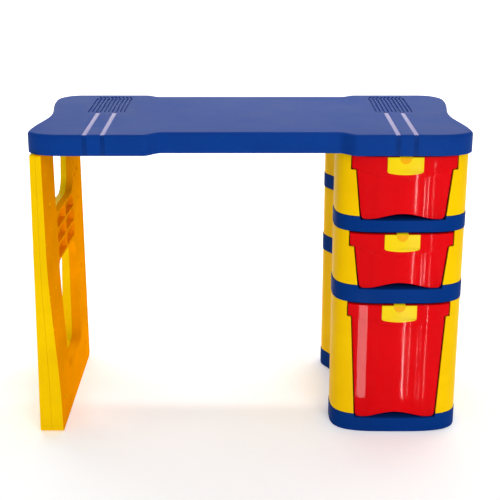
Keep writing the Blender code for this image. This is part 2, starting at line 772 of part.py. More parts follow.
def bin_half(z, height):
    """Half width of a bin's tapered body at a height above its tier's floor."""
    share = (z + DRAWER_DIP) / (rim_top(height) + DRAWER_DIP)
    return BIN_BOTTOM_HALF + BIN_TAPER * share


def opening_outline(height, step_z, clearance):
    """Front view of the space a drawer slides through, wider above step_z where its rim passes."""
    low = -2 * DRAWER_DIP
    sides = [
        (bin_half(low, height) + clearance, low),
        (bin_half(step_z, height) + clearance, step_z),
        (TUNNEL_HALF, step_z),
        (TUNNEL_HALF, height + 2 * PAST),
    ]
    return sides + [(-x, z) for x, z in reversed(sides)]


def make_side_panel(shop, name, side, level, height, material, is_top):
    """One side of a tier: a skin that wraps both corners, flanges, and the rail that a drawer hangs on."""
    ends = (side, BIN_BOTTOM_HALF - BIN_CORNER, BACK_RETURN)
    block = flat_solid([side_path(BAND_PROUD, *ends)], GAP, height - GAP)
    panel = shop.part(name, block, material, (PEDESTAL_X, 0, level))
    inner = side_path(BAND_PROUD + PANEL_WALL, *ends)
    hollow = inner + [(0, inner[-1][1]), (0, inner[0][1])]
    rail = rail_top(height)
    shop.cut(panel, flat_solid([hollow], GAP + PANEL_FLANGE, rail - RAIL_THICKNESS))
    shop.cut(panel, flat_solid([hollow], rail, height - GAP - PANEL_FLANGE))
    if is_top:
        for x, y in boss_places():
            if x * side > 0:
                shop.cut(panel, rod((x, y, height - PAST), (x, y, height + PAST), SCREW_SHANK + GAP))
                shop.cut(panel, rod((x, y, rail - PAST), (x, y, rail + GAP), SCREW_HEAD + 0.001))
    else:
        edge = PEDESTAL_HALF - BAND_WALL - TAB_CLEARANCE
        for y in PEG_PLACES:
            xs = sorted((side * edge, side * (edge - TAB[0])))
            low = (xs[0], y - TAB[1] / 2, height - PANEL_FLANGE)
            shop.join(panel, box(low, (xs[1], y + TAB[1] / 2, height + TAB[2])))
    for y in PEG_PLACES:
        low = (side * PEG_X - PEG[0] / 2, y - PEG[1] / 2, -PEG[2])
        shop.join(panel, box(low, (side * PEG_X + PEG[0] / 2, y + PEG[1] / 2, PANEL_FLANGE)))
    frame_back = PEDESTAL_FRONT + OPENING_FRAME
    mouth = opening_outline(height, rim_top(height) - RIM_END_HEIGHT - OPENING_CLEARANCE, OPENING_CLEARANCE)
    shop.cut(panel, flat_solid([mouth], PEDESTAL_FRONT - PAST, frame_back, "XZ"))
    tunnel = opening_outline(height, rail, BIN_CLEARANCE)
    shop.cut(panel, flat_solid([tunnel], PEDESTAL_FRONT - 2 * PAST, DRAWER_BACK + TUNNEL_BACK_MARGIN, "XZ"))
    lap = BACK_RETURN + BACK_PANEL_LAP + GAP
    wall_face = PEDESTAL_BACK - PANEL_WALL - BAND_PROUD
    upper = height + 2 * PAST
    shop.cut(panel, box((-lap, BACK_PANEL_FACE - GAP, -2 * PAST), (lap, wall_face, upper)))
    shop.cut(panel, box((-TUNNEL_HALF, DRAWER_BACK, -2 * PAST), (TUNNEL_HALF, BACK_PANEL_FACE, upper)))
    smooth_shading(panel)
    return panel


def make_back_panel(shop, name, level, height, material):
    lap = BACK_RETURN + BACK_PANEL_LAP
    sheet = box((-lap, BACK_PANEL_FACE, GAP), (lap, BACK_PANEL_FACE + BACK_PANEL, height - GAP))
    return shop.part(name, sheet, material, (PEDESTAL_X, 0, level))


def make_shelf(shop, name, level, height, material):
    """A moulded band with a plate inside its upper edge, open below. The plate has a tray for the drawer."""
    outline = pedestal_outline()
    shelf = shop.part(name, flat_solid([outline], 0, height), material, (PEDESTAL_X, 0, level))
    rim = shelf.modifiers.new("softened edges", "BEVEL")
    rim.limit_method = "ANGLE"
    rim.angle_limit = math.radians(60)
    rim.width = BAND_EDGE
    rim.segments = 1
    plate_low = height - TRAY_DEPTH - SHELF_PLATE
    shop.cut(shelf, flat_solid([offset(outline, BAND_WALL)], -PAST, plate_low))
    tray = RIM_HALF - TRAY_SIDE_MARGIN
    low = (-tray, PEDESTAL_FRONT - PAST, height - TRAY_DEPTH)
    shop.cut(shelf, box(low, (tray, BACK_PANEL_FACE - TRAY_BACK_MARGIN, height + PAST)))
    for side in (-1, 1):
        for y in PEG_PLACES:
            low = (side * PEG_X - PEG[0] / 2 - GAP, y - PEG[1] / 2 - GAP, plate_low - PAST)
            high = (side * PEG_X + PEG[0] / 2 + GAP, y + PEG[1] / 2 + GAP, height + PAST)
            shop.cut(shelf, box(low, high))
    smooth_shading(shelf)
    return shelf


def add_base_ribs(shop, base):
    """Cross ribs under the pedestal's base."""
    plate_low = BASE_HEIGHT - TRAY_DEPTH - SHELF_PLATE
    half = PEDESTAL_HALF - WAIST_DEPTH - BAND_WALL / 2
    for y in (-BASE_RIB_SPACING, 0.0, BASE_RIB_SPACING):
        shop.join(base, box((-half, y - RIB_WALL / 2, 0), (half, y + RIB_WALL / 2, plate_low + GAP)))
    front, back = PEDESTAL_FRONT + BAND_WALL / 2, PEDESTAL_BACK - BAND_WALL / 2
    shop.join(base, box((-RIB_WALL / 2, front, 0), (RIB_WALL / 2, back, plate_low + GAP)))


def add_pedestal_screws(shop, mesh, material):
    level = SKIRT_Z - 2 * GAP - PANEL_FLANGE
    for count, (x, y) in enumerate(boss_places(), 1):
        add_screw(shop, f"pedestal_fixing_screw_{count}", mesh, material, (PEDESTAL_X + x, y, level))


# ---------------------------------------------------------------- drawers


def wave_z(x):
    """Underside of a bin: low at the corners and arched in the middle."""
    share = min(abs(x) / ARCH_HALF, 1.0)
    return -DRAWER_DIP + ARCH_HEIGHT * (1 + math.cos(math.pi * share)) / 2


def bin_section(height):
    """Front view of a bin's body."""
    top = rim_top(height)
    corner = (BIN_BOTTOM_HALF - BIN_CORNER, BIN_CORNER - DRAWER_DIP)
    right = [(x, wave_z(x)) for x in between(0, ARCH_HALF, 9)]
    right += arc(corner, (BIN_CORNER, BIN_CORNER), -90, 0, 5)
    right += [(BIN_TOP_HALF, top)]
    return mirrored(right)


def bin_hollow(height):
    """Front view of the space inside a bin, open past its top."""
    floor = ARCH_HEIGHT - DRAWER_DIP + BIN_WALL
    low = bin_half(floor, height) - BIN_WALL
    high = bin_half(height, height) - BIN_WALL
    corners = [(-low, floor), (low, floor), (high, height), (-high, height)]
    return rounded(corners, [BIN_CORNER, BIN_CORNER, 0.0001, 0.0001], 4)


def nose_strip(front, back, half, steps=12):
    """Plan of a strip that follows the bowed front between two setbacks."""
    places = between(-half, half, steps)
    strip = [(x, nose_line(x, front)) for x in places]
    return strip + [(x, nose_line(x, back)) for x in reversed(places)]


def nose_block(front, back, half, steps=12):
    """Plan of a block with the bowed front and a straight back."""
    strip = [(x, nose_line(x, front)) for x in between(-half, half, steps)]
    return strip + [(half, back), (-half, back)]


def rim_section(height):
    """Front view of the rim's face, deeper in the middle than at its ends."""
    top = rim_top(height)
    extra = RIM_MIDDLE_HEIGHT - RIM_END_HEIGHT
    lower = []
    for x in between(-RIM_HALF, RIM_HALF, 14):
        share = max(0.0, 1 - abs(x) / BIN_TOP_HALF)
        lower.append((x, top - RIM_END_HEIGHT - extra * math.sin(share * math.pi / 2)))
    return tidy(lower + [(RIM_HALF, top), (-RIM_HALF, top)])


def make_bin(shop, name, height, material, parent):
    far = DRAWER_BACK + BIN_WALL
    block = flat_solid([bin_section(height)], PEDESTAL_FRONT, DRAWER_BACK, "XZ")
    body = shop.part(name, block, material, parent=parent)
    top = rim_top(height)
    shop.keep(body, flat_solid([nose_block(BIN_SETBACK, far, RIM_HALF)], -2 * PAST, height + PAST))
    front, back = PEDESTAL_FRONT - PAST, PEDESTAL_FRONT + PEDESTAL_NOSE / 2
    face = shop.shape(body, flat_solid([rim_section(height)], front, back, "XZ"))
    shop.keep(face, flat_solid([nose_strip(RIM_SETBACK, RIM_SETBACK + RIM_BAND, RIM_HALF)], 0, height + PAST))
    shop.join(body, face)
    flange = nose_block(RIM_SETBACK + RIM_BAND / 2, DRAWER_BACK + GAP, RIM_HALF)
    shop.join(body, flat_solid([flange], top - FLANGE_THICKNESS, top))
    hollow = shop.shape(body, flat_solid([bin_hollow(height)], PEDESTAL_FRONT, DRAWER_BACK - BIN_WALL, "XZ"))
    shop.keep(hollow, flat_solid([nose_block(BIN_SETBACK + BIN_WALL, far, RIM_HALF)], -PAST, height + PAST))
    shop.cut(body, hollow)
    smooth_shading(body)
    return body


def make_handle(shop, name, height, material, parent):
    """A plate on the rim's face with a hook that clips over the rim."""
    top = rim_top(height)
    dip = HANDLE_MIDDLE_HEIGHT - HANDLE_SIDE_HEIGHT
    places = between(-HANDLE_HALF, HANDLE_HALF, 10)
    lower = [(x, top - HANDLE_MIDDLE_HEIGHT + dip * (x / HANDLE_HALF) ** 2) for x in places]
    back = nose_line(0) + RIM_SETBACK - GAP
    front = back - HANDLE_PLATE
    outline = lower + [(HANDLE_HALF, top), (-HANDLE_HALF, top)]
    plate = shop.part(name, flat_solid([outline], front, back, "XZ"), material, parent=parent)
    softened = plate.modifiers.new("softened edges", "BEVEL")
    softened.limit_method = "ANGLE"
    softened.angle_limit = math.radians(50)
    softened.width = HANDLE_EDGE
    softened.segments = 2
    inside = nose_line(0) + BIN_SETBACK + BIN_WALL + GAP
    hook_top = top + GAP + HOOK_WALL
    shop.join(plate, box((-HOOK_HALF, front + GAP, top - HOOK_WALL), (HOOK_HALF, back, hook_top)))
    shop.join(plate, box((-HOOK_HALF, back - GAP, top + GAP), (HOOK_HALF, inside + HOOK_WALL, hook_top)))
    low = (-HOOK_HALF, inside, top - HOOK_DROP)
    shop.join(plate, box(low, (HOOK_HALF, inside + HOOK_WALL, hook_top - GAP)))
    boss = arc((0, hook_top - GAP), (HOOK_HALF, BOSS_HEIGHT), 180, 360, 12)
    shop.join(plate, flat_solid([boss], front - BOSS_RELIEF, back, "XZ"))
    smooth_shading(plate)
    return plate


def make_drawer(shop, name, level, height, red, lemon):
    slide = bpy.data.objects.new(f"{name}_slide", None)
    slide.location = (PEDESTAL_X, 0, level)
    slide.empty_display_size = 0.05
    shop.parts.objects.link(slide)
    make_bin(shop, f"{name}_bin", height, red, slide)
    make_handle(shop, f"{name}_handle", height, lemon, slide)


def main():
    clear_scene()
    shop = Workshop("play_desk")
    blue = plastic("blue_plastic", BLUE)
    yellow = plastic("yellow_plastic", YELLOW)
    lemon = plastic("lemon_plastic", LEMON)
    red = plastic("red_plastic", RED, 0.25)
    steel = plastic("screw_steel", STEEL, 0.4, 1.0)
    make_desktop(shop, blue)
    make_leg(shop, yellow)
    screw = screw_mesh()
    add_leg_screws(shop, screw, steel)
    base = make_shelf(shop, "pedestal_base", 0, BASE_HEIGHT, blue)
    add_base_ribs(shop, base)
    make_shelf(shop, "lower_shelf", LOWER_SHELF_Z, LOWER_SHELF, blue)
    make_shelf(shop, "upper_shelf", UPPER_SHELF_Z, UPPER_SHELF, blue)
    tiers = (
        ("lower", LOWER_TIER_Z, LOWER_TIER),
        ("middle", MIDDLE_TIER_Z, MIDDLE_TIER),
        ("upper", UPPER_TIER_Z, UPPER_TIER),
    )
    for tier, level, height in tiers:
        for hand, side in (("left", -1), ("right", 1)):
            make_side_panel(shop, f"{tier}_{hand}_side_panel", side, level, height, yellow, tier == "upper")
        make_back_panel(shop, f"{tier}_back_panel", level, height, yellow)
        make_drawer(shop, f"{tier}_drawer", level, height, red, lemon)
    add_pedestal_screws(shop, screw, steel)


main()
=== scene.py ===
"""Looks of a moulded plastic play desk: a dog-bone desktop, a pierced leg panel and three drawers.

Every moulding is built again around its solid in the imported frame, with finer outlines and rounded edges.
Metres, +Z up, front towards -Y. Places come from the frame's boxes; fine details are named sizes below.
"""

import math

import bmesh
import bpy
from bpy.props import FloatProperty, FloatVectorProperty, IntProperty, PointerProperty
from mathutils import Matrix, Vector


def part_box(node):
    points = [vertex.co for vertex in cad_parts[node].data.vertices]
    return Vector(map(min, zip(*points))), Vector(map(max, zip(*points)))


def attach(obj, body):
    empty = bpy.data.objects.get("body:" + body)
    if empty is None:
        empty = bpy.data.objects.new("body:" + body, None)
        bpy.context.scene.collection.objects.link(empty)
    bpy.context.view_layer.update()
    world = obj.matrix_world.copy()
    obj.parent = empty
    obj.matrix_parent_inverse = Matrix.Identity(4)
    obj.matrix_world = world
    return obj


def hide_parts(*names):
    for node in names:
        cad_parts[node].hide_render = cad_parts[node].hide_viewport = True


bl_info = {
    "name": "Play Desk Mouldings",
    "version": (1, 0, 0),
    "blender": (4, 5, 0),
    "location": "3D View > Sidebar > Play Desk",
    "description": "Builds the desktop, leg panel, pedestal and drawers of a moulded play desk",
    "category": "Object",
}

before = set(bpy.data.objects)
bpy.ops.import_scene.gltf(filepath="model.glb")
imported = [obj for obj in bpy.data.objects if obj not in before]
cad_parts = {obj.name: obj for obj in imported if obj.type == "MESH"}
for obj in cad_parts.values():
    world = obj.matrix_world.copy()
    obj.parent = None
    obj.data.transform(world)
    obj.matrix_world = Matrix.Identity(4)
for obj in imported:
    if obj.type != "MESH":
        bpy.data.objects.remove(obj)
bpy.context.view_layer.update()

DESK_LOW, DESK_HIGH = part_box("desktop")
BASE_LOW, BASE_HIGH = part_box("pedestal_base")
LEG_LOW, LEG_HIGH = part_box("leg_outer_shell")
TENON_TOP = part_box("leg_inner_shell")[1].z
DESK_X = (DESK_LOW.x + DESK_HIGH.x) / 2
DESK_HALF = (DESK_HIGH.x - DESK_LOW.x) / 2
PEDESTAL_X = (BASE_LOW.x + BASE_HIGH.x) / 2
PEDESTAL_HALF = (BASE_HIGH.x - BASE_LOW.x) / 2
TIER_NAMES = ("lower", "middle", "upper")
HANDS = (("left", -1), ("right", 1))
GAP = 0.0003
# How far faces of joined pieces stand apart, where they would share a plane.
FLUSH = 0.0003
# How far a cutter runs past the face that it cuts.
PAST = 0.01

# Desktop outline: wings at the corners, bays between them and a notch in each side.
FRONT_BAY_HALF = 0.159
FRONT_WING_START = 0.190
FRONT_BAY_DEPTH = 0.022
BACK_BAY_HALF = 0.185
BACK_WING_START = 0.215
BACK_BAY_DEPTH = 0.017
SIDE_NOTCH_DEPTH = 0.017
SIDE_NOTCH_REACH = 0.145
SIDE_NOTCH_MIDDLE = -0.006
BACK_TAPER = 0.004
FRONT_CORNER = (0.065, 0.042)
BACK_CORNER = (0.048, 0.052)
SKIRT_WALL = 0.004
SKIRT_LIP = 0.0012
TOP_PLATE = 0.0045
RIB_WALL = 0.003
RIB_DEPTH = 0.014
RIB_END_CLEARANCE = 0.010
RIBS_ACROSS = 2
RIBS_ALONG = 3
BOSS_RADIUS = 0.0065
SCREW_HOLE = 0.0021
SCREW_REACH = 0.0135
STRIPE_SPACING = 0.032
STRIPE_END = 0.008
STRIPE_REACH = 0.003
SLOT_COUNT = 10
SLOT_PITCH = 0.0077
SLOT_START = 0.012
SLOT_END = 0.166
SLOT_END_GAP = 0.010
SLOT_DEPTH = 0.002
VENT_HALF = 0.0028
VENT_FRONT = 0.006
VENT_BACK = 0.005
VENT_DEPTH = 0.0036

# Leg panel.
LEG_TOP_INSET = 0.0065
LEG_BACK_TOP_INSET = 0.020
LEG_TOP_THICKNESS = 0.0202
LEG_FOOT_THICKNESS = 0.044
FLARE_BOTTOM = 0.030
FLARE_TOP = 0.360
LEG_WALL = 0.003
FRONT_POST = 0.107
BACK_POST = 0.097
WEB_TOP = 0.407
WEB_BOTTOM = 0.311
WINDOW_BOTTOM = 0.083
POCKET_RIB = 0.005
POCKET_CORNER = 0.004
POCKET_LOW_CORNER = 0.010
POCKET_HIGH_CORNER = 0.018
TENON_HALF = 0.030
LEG_SPAN = (LEG_LOW.x - 0.05, LEG_LOW.x + 0.15)
EDGE_REACH = 0.0006
PIN_DEPTH = 0.0040
WELL_FLOOR = 0.006
WELL_RADIUS = 0.0044

# Corner radii of the leg's side view, from the foot's front corner round by the back, and of its window.
EDGE_RADII = (0.010, 0.010, 0.004, 0.004, 0.030, 0.012, 0.004, 0.004)
WINDOW_RADII = (0.022, 0.022, 0.050, 0.015)

# Ejector pin marks on the leg's inner face: distance behind the desktop's front edge, and height.
PIN_MARKS = (
    (0.035, 0.502), (0.105, 0.384), (0.019, 0.375), (0.054, 0.338), (0.066, 0.274), (0.018, 0.274),
    (0.012, 0.210), (0.312, 0.435), (0.339, 0.380), (0.334, 0.340), (0.336, 0.282), (0.302, 0.217),
    (0.329, 0.182), (0.294, 0.180), (0.309, 0.127),
)

# Pedestal and drawers.
NOSE = 0.078
NOSE_POWER = 3.5
BACK_CORNER_RADIUS = 0.025
WAIST_DEPTH = 0.020
WAIST_FRONT_RAMP = 0.080
WAIST_BACK_RAMP = 0.050
BACK_LOBE = 0.034
BAND_WALL = 0.004
BAND_EDGE = 0.0014
BASE_RIB_SPACING = 0.060
SHELF_PLATE = 0.0035
TRAY_DEPTH = 0.0065
TRAY_CLEARANCE = 0.0014
TRAY_BACK_GAP = 0.002
BAND_PROUD = 0.001
PANEL_WALL = 0.0035
PANEL_FLANGE = 0.003
PANEL_EDGE = 0.0007
FIELD_INSET = 0.012
FIELD_CORNER = 0.008
FIELD_DEPTH = 0.001
BOARD_EDGE = 0.0006
OPENING_FRAME = 0.021
BACK_RETURN = 0.085
FLANGE_WIDTH = 0.0063
FLANGE_THICKNESS = 0.004
BIN_TAPER = 0.012
BIN_WALL = 0.0028
BIN_SETBACK = 0.004
BIN_PAST_FRONT = 0.002
BIN_PAST_BACK = 0.003
HOLLOW_HALF = 0.034
HOLLOW_RAMP = 0.016
RIM_SETBACK = 0.001
RIM_BAND = 0.0045
RIM_END_HEIGHT = 0.024
RIM_MIDDLE_HEIGHT = 0.0425
RIM_CORNER = 0.004
RIM_REACH = 0.04
RIM_PAST_END = 0.002
ARCH_HEIGHT = 0.010
ARCH_HALF = 0.066
BIN_CORNER = 0.008
OPENING_CLEARANCE = 0.0018
BIN_CLEARANCE = 0.002
RAIL_THICKNESS = 0.004
DRAWER_BACK_GAP = 0.002

# Drawer handle: its plate, the hook over the rim and the half-round boss under the hook.
HANDLE_THICKNESS = 0.003
HANDLE_DIP = 0.004
HANDLE_CORNER = 0.003
HANDLE_EDGE = 0.0010
HOOK_HALF = 0.0105
HOOK_WALL = 0.002
HOOK_LEG = 0.012
HOOK_LIP = 0.004
HOOK_PROUD = 0.0012
HOOK_CHAMFER = (0.001, 0.0022)
HOOK_EDGE = 0.0004
KNOB_DROP = 0.001
KNOB_HEIGHT = 0.0115
KNOB_PROUD = 0.0014
KNOB_EDGE = 0.0008

# Stage: the floor, the camera and the soft lights with their place, target, size and power.
FLOOR_HALF = 30.0
FLOOR_BEND = 4.0
BACKDROP_Y = 7.0
BACKDROP_TOP = 12.0
FLOOR_DROP = 0.0004
FLOOR_SHADE = 0.93
FLOOR_GLOW = 0.27
SKY_STRENGTH = 0.32
CAMERA_PLACE = (0.0014, -2.1612, 1.0180)
CAMERA_TILT = 71.822
CAMERA_SENSOR = 36.0
CAMERA_LENS = 81.94
SOFT_LIGHTS = (
    ("front_light", (1.1, -3.3, 1.9), (0, 0, 0.25), (1.6, 1.6), 50),
    ("top_light", (0.2, -0.3, 3.2), (0, 0, 0.5), (3.0, 2.0), 17),
    ("backdrop_light", (0, 2.0, 4.5), (0, 6.0, 1.0), (6.0, 1.0), 300),
)

# Upright strips of light before the drawers: place along X, lower and upper end, width and power.
GLINT_Y = -0.32
GLINTS = (
    (0.312, 0.0, 0.21, 0.003, 0.18), (0.3256, 0.0, 0.21, 0.002, 0.05), (0.381, 0.0, 0.21, 0.004, 0.10),
    (0.183, 0.0, 0.21, 0.050, 0.90), (0.325, 0.24, 0.50, 0.003, 0.20), (0.381, 0.24, 0.50, 0.004, 0.06),
)

# How the pigment's flow marks are stretched along X, Y and Z.
UPRIGHT_FLOW = (2.0, 2.0, 9.0)
SIDEWAYS_FLOW = (9.0, 2.0, 1.5)

# Each plastic: its colour's setting, brightness, roughness, share of the grain, flow marks and shine.
PLASTICS = {
    "grained_blue": ("blue", 1.0, 0.48, 1.0, UPRIGHT_FLOW, 0.045),
    # The bands' blue is the desktop's blue darkened: painted shade.
    "band_blue": ("blue", 0.80, 0.45, 1.0, UPRIGHT_FLOW, 0.01),
    # The skirt grooves' darkened blue is painted shade.
    "deep_blue": ("blue", 0.78, 0.20, 0.0, UPRIGHT_FLOW, 0.09),
    # The stripes' pale lilac is a painted reflection of their polished floors.
    "pale_stripe": ("stripe", 1.0, 0.22, 0.0, UPRIGHT_FLOW, 0.09),
    "satin_yellow": ("yellow", 1.0, 0.40, 0.5, UPRIGHT_FLOW, 0.02),
    # The inner shell's orange yellow is painted shade.
    "amber_yellow": ("amber", 1.0, 0.55, 1.0, UPRIGHT_FLOW, 0.0),
    # The bosses' deeper yellow is painted shade.
    "boss_yellow": ("boss", 1.0, 0.35, 0.0, UPRIGHT_FLOW, 0.06),
    "glossy_lemon": ("lemon", 1.0, 0.30, 0.0, UPRIGHT_FLOW, 0.08),
    "glossy_red": ("red", 1.0, 0.06, 0.0, SIDEWAYS_FLOW, 0.055),
}

# Turns from a flat outline's own plane to the plane it is drawn in, and the direction it is extruded in.
PLANES = {
    "XY": Matrix.Identity(4),
    "XZ": Matrix(((1, 0, 0, 0), (0, 0, -1, 0), (0, 1, 0, 0), (0, 0, 0, 1))),
    "YZ": Matrix(((0, 0, 1, 0), (1, 0, 0, 0), (0, 1, 0, 0), (0, 0, 0, 1))),
}
NORMALS = {"XY": Vector((0, 0, 1)), "XZ": Vector((0, 1, 0)), "YZ": Vector((1, 0, 0))}


# ---------------------------------------------------------------- settings


class PlayDeskSizes(bpy.types.PropertyGroup):
    """Sizes of the fine shapes that the frame leaves plain."""

    top_fillet: FloatProperty(
        name="Top fillet", description="Radius of the desktop's upper edge",
        default=0.006, min=0.002, max=0.008, unit="LENGTH",
    )
    stripe_width: FloatProperty(
        name="Stripe width", description="Width of each polished stripe in the desktop",
        default=0.0084, min=0.003, max=0.012, unit="LENGTH",
    )
    stripe_depth: FloatProperty(
        name="Stripe depth", description="Depth of the polished stripes below the grained face",
        default=0.0006, min=0.0004, max=0.002, unit="LENGTH",
    )
    slot_width: FloatProperty(
        name="Slot width", description="Width of each blind slot in the two grilles",
        default=0.0042, min=0.001, max=0.006, unit="LENGTH",
    )
    leg_edge: FloatProperty(
        name="Leg edge", description="Rounding of the leg panel's outer edges",
        default=0.0016, min=0.0005, max=0.003, unit="LENGTH",
    )
    pin_radius: FloatProperty(
        name="Pin mark radius", description="Radius of the ejector pin marks in the leg's inner face",
        default=0.0034, min=0.001, max=0.005, unit="LENGTH",
    )
    bin_edge: FloatProperty(
        name="Bin edge", description="Rounding of a drawer's edges",
        default=0.0009, min=0.0003, max=0.0013, unit="LENGTH",
    )
    face_hollow: FloatProperty(
        name="Face hollow", description="Depth of the shallow hollow in the middle of a drawer's face",
        default=0.0014, min=0.0, max=0.002, unit="LENGTH",
    )


class PlayDeskColours(bpy.types.PropertyGroup):
    """Colours and grain of the plastics."""

    blue: FloatVectorProperty(
        name="Blue", description="Desktop and pedestal bands", subtype="COLOR", size=3,
        default=(0.002, 0.043, 0.265), min=0.0, max=1.0,
    )
    # This pale lilac is a painted reflection on the stripes' polished floors.
    stripe: FloatVectorProperty(
        name="Stripe", description="Rubbed floors of the stripes in the desktop", subtype="COLOR", size=3,
        default=(0.24, 0.21, 0.46), min=0.0, max=1.0,
    )
    yellow: FloatVectorProperty(
        name="Yellow", description="Leg panel and pedestal walls", subtype="COLOR", size=3,
        default=(1.0, 0.60, 0.0), min=0.0, max=1.0,
    )
    # This orange is painted shade on the leg's inner faces, which turn away from the light.
    amber: FloatVectorProperty(
        name="Amber", description="Inner shell of the leg panel", subtype="COLOR", size=3,
        default=(0.92, 0.32, 0.0), min=0.0, max=1.0,
    )
    lemon: FloatVectorProperty(
        name="Lemon", description="Drawer handles", subtype="COLOR", size=3,
        default=(1.0, 0.71, 0.0), min=0.0, max=1.0,
    )
    # This deeper yellow is painted shade on the handles' rounded bosses.
    boss: FloatVectorProperty(
        name="Boss", description="Half-round bosses of the drawer handles", subtype="COLOR", size=3,
        default=(0.96, 0.46, 0.0), min=0.0, max=1.0,
    )
    red: FloatVectorProperty(
        name="Red", description="Drawer bins", subtype="COLOR", size=3,
        default=(0.74, 0.0003, 0.003), min=0.0, max=1.0,
    )
    grain: FloatProperty(
        name="Grain", description="Height of the spark-eroded grain on the grained plastics",
        default=0.00006, min=0.0, max=0.0005, precision=6, unit="LENGTH",
    )
    grain_cells: IntProperty(
        name="Grain cells", description="Grain cells in each metre of a grained face",
        default=900, min=100, max=3000,
    )


# ---------------------------------------------------------------- outlines


def smooth(t):
    """Rises from 0 to 1 with level ends."""
    t = min(max(t, 0.0), 1.0)
    return t * t * (3 - 2 * t)


def between(start, end, steps):
    """Evenly spaced values, both ends included."""
    return [start + (end - start) * i / steps for i in range(steps + 1)]


def arc(centre, radii, first, last, steps=14):
    """Points on an ellipse between two angles in degrees."""
    angles = [math.radians(angle) for angle in between(first, last, steps)]
    return [(centre[0] + radii[0] * math.cos(a), centre[1] + radii[1] * math.sin(a)) for a in angles]


def s_curve(start, end, steps=14):
    """Points from start to end, level at both ends."""
    return [
        (start[0] + (end[0] - start[0]) * t, start[1] + (end[1] - start[1]) * smooth(t))
        for t in between(0, 1, steps)
    ]


def tidy(points, least=1e-5):
    """The closed outline without repeated points."""
    kept = []
    for point in points:
        if not kept or math.dist(point, kept[-1]) > least:
            kept.append(point)
    if math.dist(kept[0], kept[-1]) <= least:
        kept.pop()
    return kept


def mirrored(right):
    """A closed outline from its right half, which runs from the front middle to the back middle."""
    return tidy(right + [(-x, y) for x, y in reversed(right)])


def offset(points, inset):
    """The closed outline moved inwards by inset, or outwards where it is negative."""
    count = len(points)
    area = sum(
        points[i][0] * points[(i + 1) % count][1] - points[(i + 1) % count][0] * points[i][1]
        for i in range(count)
    )
    turn = inset if area > 0 else -inset
    moved_points = []
    for i in range(count):
        here = Vector(points[i])
        before = (here - Vector(points[i - 1])).normalized()
        after = (Vector(points[(i + 1) % count]) - here).normalized()
        normal_before = Vector((-before.y, before.x))
        normal_after = Vector((-after.y, after.x))
        middle = (normal_before + normal_after).normalized()
        moved_points.append(tuple(here + middle * (turn / max(middle.dot(normal_after), 0.5))))
    return moved_points


def rounded(corners, radii, steps=10):
    """A closed polygon with each corner rounded to its own radius."""
    points = []
    count = len(corners)
    for i, radius in enumerate(radii):
        here = Vector(corners[i])
        to_last = (Vector(corners[i - 1]) - here).normalized()
        to_next = (Vector(corners[(i + 1) % count]) - here).normalized()
        half = to_last.angle(to_next) / 2
        reach = radius / math.tan(half)
        middle = here + (to_last + to_next).normalized() * (radius / math.sin(half))
        start = here + to_last * reach - middle
        end = here + to_next * reach - middle
        for t in between(0, 1, steps):
            points.append(tuple(middle + (start * (1 - t) + end * t).normalized() * radius))
    return tidy(points)


def rectangle(low, high):
    return [(low[0], low[1]), (high[0], low[1]), (high[0], high[1]), (low[0], high[1])]


def stadium(left, right, low, high):
    """A slot with round ends, long in the second direction."""
    radius = (right - left) / 2
    middle = (left + right) / 2
    lower = arc((middle, low + radius), (radius, radius), 180, 360, 6)
    return tidy(lower + arc((middle, high - radius), (radius, radius), 0, 180, 6))


# ---------------------------------------------------------------- solids


def cleaned(mesh):
    """The mesh with its caps welded and its faces pointing out."""
    shape = bmesh.new()
    shape.from_mesh(mesh)
    bmesh.ops.remove_doubles(shape, verts=shape.verts, dist=1e-6)
    bmesh.ops.dissolve_limit(shape, angle_limit=1e-4, verts=shape.verts, edges=shape.edges)
    bmesh.ops.recalc_face_normals(shape, faces=shape.faces)
    shape.to_mesh(mesh)
    shape.free()
    return mesh


def flat_solid(outlines, low, high, plane="XY"):
    """Mesh of flat outlines made solid between two levels. Outlines inside another are its holes."""
    curve = bpy.data.curves.new("outline", "CURVE")
    curve.dimensions = "2D"
    curve.fill_mode = "BOTH"
    curve.extrude = (high - low) / 2
    for outline in outlines:
        spline = curve.splines.new("POLY")
        spline.points.add(len(outline) - 1)
        for point, (u, v) in zip(spline.points, outline):
            point.co = (u, v, 0, 1)
        spline.use_cyclic_u = True
    guide = bpy.data.objects.new("outline", curve)
    mesh = bpy.data.meshes.new_from_object(guide)
    bpy.data.objects.remove(guide)
    bpy.data.curves.remove(curve)
    mesh.transform(Matrix.Translation(NORMALS[plane] * (low + high) / 2) @ PLANES[plane])
    return cleaned(mesh)


def block(low, high):
    """A right-angled cutter between two corners."""
    mesh = bpy.data.meshes.new("block")
    shape = bmesh.new()
    size = [high[i] - low[i] for i in range(3)]
    middle = [(high[i] + low[i]) / 2 for i in range(3)]
    bmesh.ops.create_cube(shape, size=1, matrix=Matrix.Translation(middle) @ Matrix.Diagonal((*size, 1)))
    shape.to_mesh(mesh)
    shape.free()
    return mesh


def rods(ends, radius):
    """Cylinders between pairs of points, as one mesh."""
    mesh = bpy.data.meshes.new("rods")
    shape = bmesh.new()
    for start, end in ends:
        start, end = Vector(start), Vector(end)
        turn = (end - start).to_track_quat("Z", "Y").to_matrix().to_4x4()
        place = Matrix.Translation((start + end) / 2) @ turn
        bmesh.ops.create_cone(
            shape, cap_ends=True, segments=20, radius1=radius, radius2=radius,
            depth=(end - start).length, matrix=place,
        )
    shape.to_mesh(mesh)
    shape.free()
    return mesh


